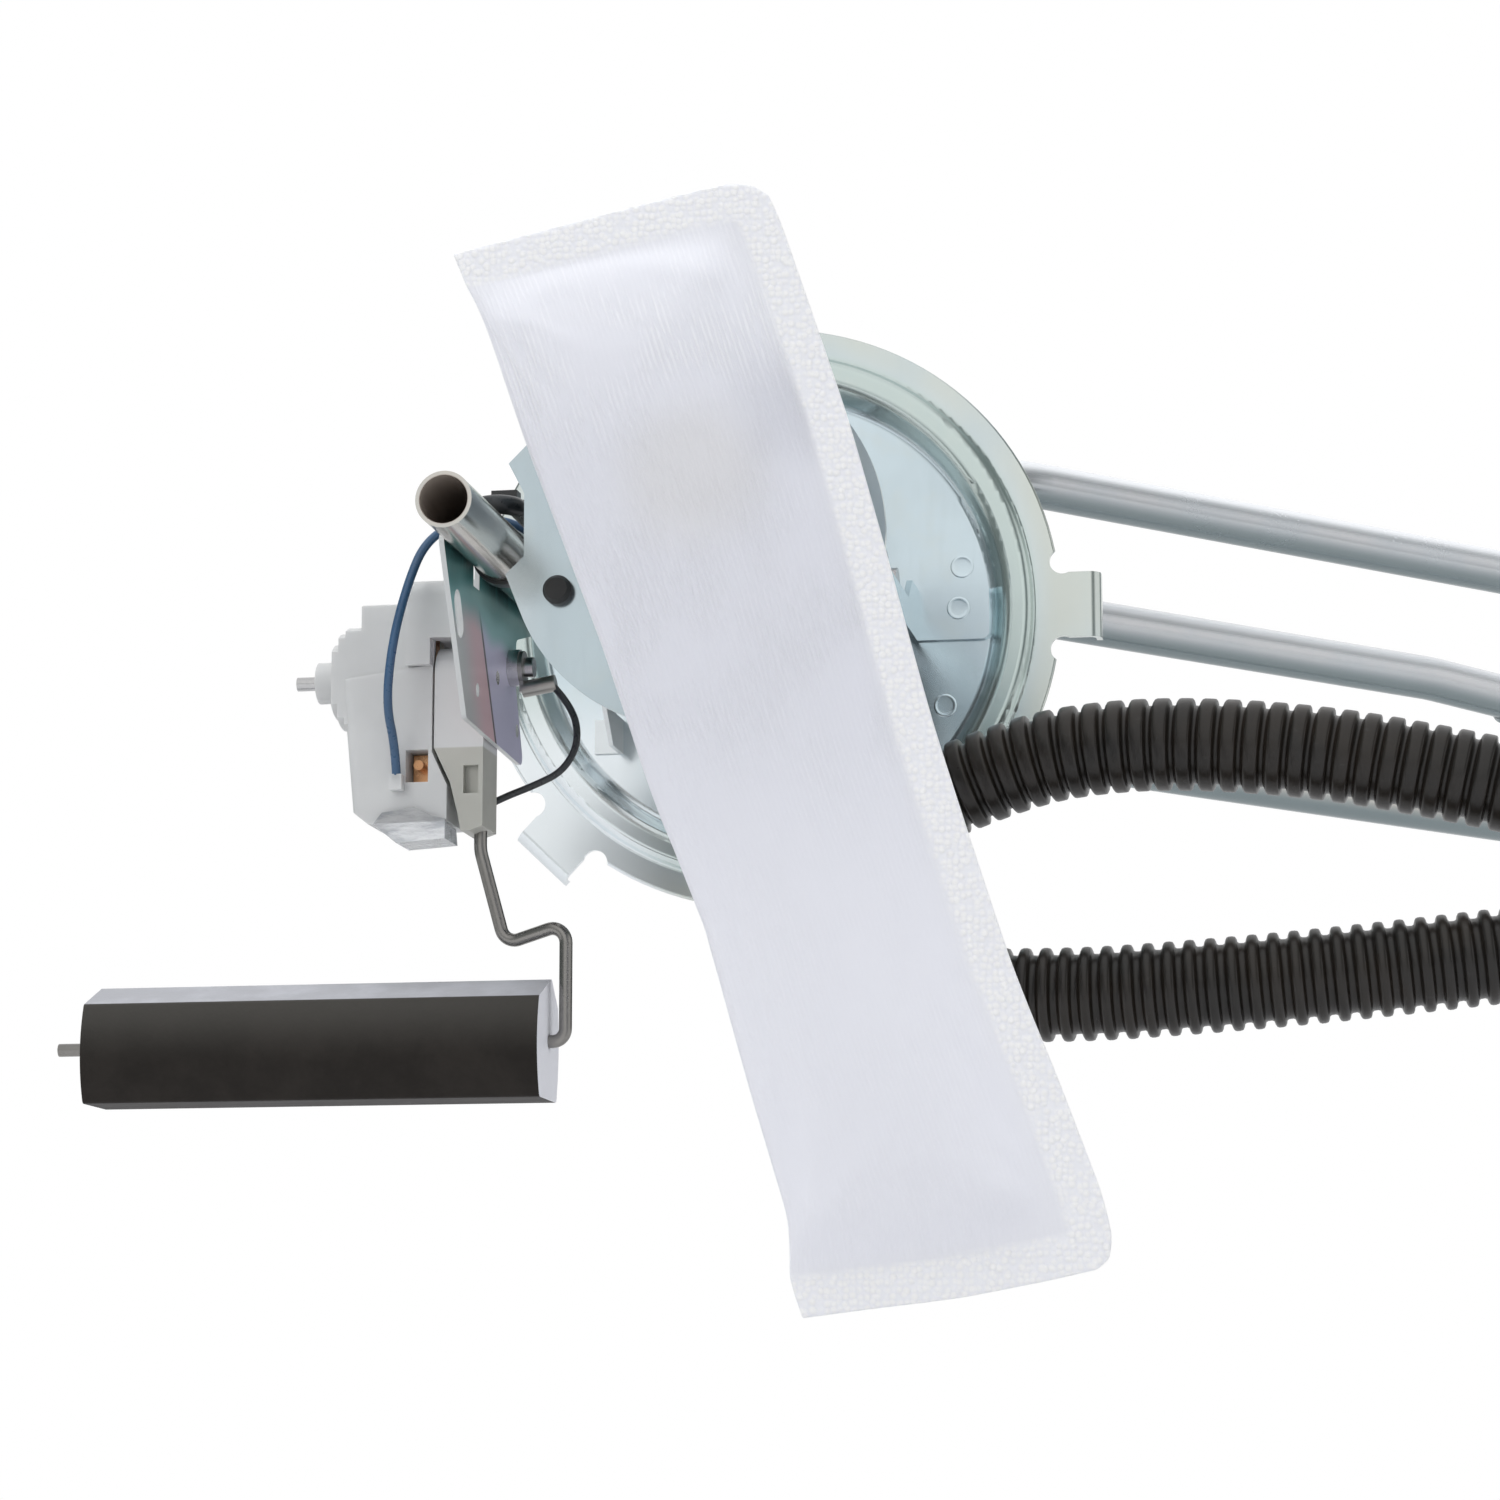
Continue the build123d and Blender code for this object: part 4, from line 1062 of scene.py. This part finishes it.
class FUELPUMP_OT_steelwork(bpy.types.Operator):
    """The flange with its weld marks, the steel lines, the strut, the bracket and the pump's support plates"""
    bl_idname = "fuelpump.steelwork"
    bl_label = "Steelwork"

    def execute(self, context):
        settings = context.scene.fuelpump_metal
        zinc = zinc_plate("zinc_plate", settings)
        finish_parts(zinc, "flange", "hanger_strut")
        finish_parts(zinc_plate("support_zinc", settings, 0.8), "pump_support")
        finish_parts(rainbow_plate("rainbow_plate"), "sender_bracket")
        line = steel_finish("line_steel", settings.line_colour, 0.24, (0.96, 0.99, 1.01), (0.1, 1.0, 1.0), 0.01, 0.05)
        self.add_painted_crown_and_underside(line)
        finish_parts(line, "supply_line", "vent_line")
        warm = steel_finish("return_steel", (0.64, 0.61, 0.56), 0.20, (0.93, 0.98, 1.02), (1.0, 0.1, 1.0), 0.01, 0.08)
        self.add_painted_crown_and_underside(warm)
        self.add_bore_stain(warm)
        finish_parts(warm, "return_line")
        bright = steel_finish("bright_steel", (0.50, 0.50, 0.50), 0.24, (0.98, 0.98, 1.0))
        finish_parts(bright, "ground_stud", "hose_clamp_line", "hose_clamp_pump")
        self.add_weld_marks(settings, zinc)
        return {"FINISHED"}

    def add_painted_crown_and_underside(self, finish):
        """Painted highlight along the top of a line and a bluish painted shade along its underside, outside the tank.
        """
        tree, clean = under_colour(finish)
        up = facing(tree)[2]
        outside = faded(tree, parted(tree, place(tree))[1], -0.03, 0.0)
        painted_crown_highlight = product(tree, faded(tree, up, 0.10, 0.70), outside)
        painted_underside_shade = product(tree, faded(tree, up, 0.0, -0.75), outside)
        # Painted highlight on the crown, painted shade on the underside; the highlight also lowers the metallic.
        upper = blended(tree, painted_crown_highlight, clean, (0.88, 0.90, 0.93))
        finished(finish, {
            "Base Color": blended(tree, painted_underside_shade, upper, (0.27, 0.32, 0.33)),
            "Metallic": scaled(tree, painted_crown_highlight, -0.68, 0.8),
        })

    def add_bore_stain(self, finish):
        """Dull brown fuel stain on the inside wall of the return line."""
        tree, clean = under_colour(finish)
        x, z, radius = RETURN_BORE
        reach = reach_from(tree, flattened(tree, parted(tree, place(tree))), (x, 0.0, z))
        inside = faded(tree, reach, radius + 0.15 * MM, radius + 0.05 * MM)
        finished(finish, {
            "Base Color": blended(tree, inside, clean, (0.38, 0.33, 0.29)),
            "Metallic": calc(tree, "SUBTRACT", 1.0, inside),
        })

    def add_weld_marks(self, settings, finish):
        """Shallow ring-shaped marks of the strut's spot welds, on the flange and on the strut's foot."""
        radius = settings.weld_diameter / 2
        profile = [(radius * share, height * MM) for share, height in WELD_PROFILE]
        foot_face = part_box("hanger_strut")[1].y - STRUT_SHEET
        marks = ((39.7, 9.4, FLOOR_FACE), (36.0, -19.1, FLOOR_FACE), (39.0, 0.6, foot_face))
        for index, (x, z, face) in enumerate(marks):
            mesh = lathe_mesh("weld_mark", profile, (x * MM, face + 0.01 * MM, z * MM), (0, -1, 0), 32)
            add_piece(f"weld_mark_{index + 1}", mesh, finish)


class FUELPUMP_OT_sender(bpy.types.Operator):
    """The level sender: body, card, contacts, arm, hub and float"""
    bl_idname = "fuelpump.sender"
    bl_label = "Level sender"

    def execute(self, context):
        settings = context.scene.fuelpump_plastic
        nylon = moulded_finish("natural_nylon", settings.nylon, 0.40, 600.0, 0.03, 0.35, 0.04)
        finish_parts(nylon, "sender_body", "sender_crimp")
        finish_parts(moulded_finish("grey_nylon", *self.grey(settings)), "float_stop")
        finish_parts(self.hub_finish(settings), "arm_hub")
        finish_parts(clear_finish("clear_moulding"), "terminal_block")
        finish_parts(moulded_finish("resistor_card", (0.55, 0.52, 0.42), 0.35, 400.0, 0.02), "sender_card")
        finish_parts(steel_finish("contact_copper", (0.60, 0.34, 0.18), 0.28, (1.05, 0.95, 0.9)),
                     "sender_contacts", "sender_wiper")
        finish_parts(steel_finish("pin_steel", (0.58, 0.58, 0.58), 0.24), "sender_pin")
        finish_parts(steel_finish("arm_steel", (0.30, 0.29, 0.275), 0.30, (0.95, 0.95, 0.95)), "float_arm")
        finish_parts(foam_finish("float_foam", settings.foam), "float")
        return {"FINISHED"}

    def grey(self, settings):
        """The values of the grey nylon's finish."""
        return settings.grey_nylon, 0.42, 600.0, 0.03, 0.15, 0.06

    def hub_finish(self, settings):
        """The hub's nylon: pale round the pivot, grey below it where it grips the arm, the grey being painted shade on
        white nylon.
        """
        material = moulded_finish("hub_nylon", *self.grey(settings))
        tree, grey = under_colour(material)
        # Below the pivot the hub keeps the grey nylon: painted shade on its white nylon.
        pivot = faded(tree, parted(tree, place(tree))[2], -0.0456, -0.0452)
        return finished(material, {"Base Color": blended(tree, pivot, grey, settings.nylon)})


class FUELPUMP_OT_pump(bpy.types.Operator):
    """The electric pump, its moving parts, its hose, and the flange connector"""
    bl_idname = "fuelpump.pump"
    bl_label = "Pump"

    def execute(self, context):
        for finish, *parts in (
            (steel_finish("pump_can_steel", (0.58, 0.59, 0.60), 0.24, (0.97, 0.98, 1.0), (1.0, 0.05, 1.0)), "pump_can"),
            (steel_finish("cast_aluminium", (0.60, 0.61, 0.62), 0.42, (0.93, 0.94, 0.95), relief_mm=0.06),
             "pump_inlet_cover", "pump_mid_plate"),
            (moulded_finish("pump_cap", (0.05, 0.05, 0.052), 0.4, 700.0, 0.04), "pump_outlet_cap"),
            (moulded_finish("fuel_rubber", (0.022, 0.022, 0.022), 0.55, 500.0, 0.06),
             "outlet_hose", "pump_isolator", "connector_seal"),
            (moulded_finish("connector_black", (0.028, 0.028, 0.030), 0.4, 800.0, 0.04), "connector_body"),
            (steel_finish("winding_copper", (0.55, 0.30, 0.16), 0.34, (1.05, 0.95, 0.9)), "pump_armature"),
            (moulded_finish("impeller_resin", (0.16, 0.13, 0.10), 0.45, 700.0, 0.03), "pump_impeller"),
            (moulded_finish("magnet_ferrite", (0.06, 0.06, 0.065), 0.6, 500.0, 0.08),
             "magnet_left", "magnet_right", "brush_left", "brush_right"),
            (steel_finish("small_steel", (0.55, 0.55, 0.55), 0.26),
             "bearing_lower", "bearing_upper", "brush_spring_left", "brush_spring_right", "check_ball"),
        ):
            finish_parts(finish, *parts)
        return {"FINISHED"}


STEPS = ("studio", "hoses", "wires", "strainer", "steelwork", "sender", "pump")


class FUELPUMP_PT_panel(bpy.types.Panel):
    """Sizes, colours and steps of the fuel pump module"""
    bl_label = "Fuel pump module"
    bl_idname = "FUELPUMP_PT_panel"
    bl_space_type = "VIEW_3D"
    bl_region_type = "UI"
    bl_category = "Fuel Pump"

    def draw(self, context):
        for step in STEPS:
            self.layout.operator("fuelpump." + step)
        for group in SETTINGS:
            box = self.layout.box()
            settings = getattr(context.scene, group)
            for name in SETTINGS[group].__annotations__:
                box.prop(settings, name)


SETTINGS = {
    "fuelpump_studio": StudioSettings,
    "fuelpump_hoses": HoseSettings,
    "fuelpump_wires": WireSettings,
    "fuelpump_bag": BagSettings,
    "fuelpump_metal": MetalSettings,
    "fuelpump_plastic": PlasticSettings,
}
CLASSES = (
    *SETTINGS.values(),
    FUELPUMP_OT_studio,
    FUELPUMP_OT_hoses,
    FUELPUMP_OT_wires,
    FUELPUMP_OT_strainer,
    FUELPUMP_OT_steelwork,
    FUELPUMP_OT_sender,
    FUELPUMP_OT_pump,
    FUELPUMP_PT_panel,
)


def register():
    for entry in CLASSES:
        bpy.utils.register_class(entry)
    for name, group in SETTINGS.items():
        setattr(bpy.types.Scene, name, PointerProperty(type=group))


def unregister():
    for name in SETTINGS:
        delattr(bpy.types.Scene, name)
    for entry in reversed(CLASSES):
        bpy.utils.unregister_class(entry)


def main():
    register()
    for step in STEPS:
        getattr(bpy.ops.fuelpump, step)()


if __name__ == "__main__":
    main()
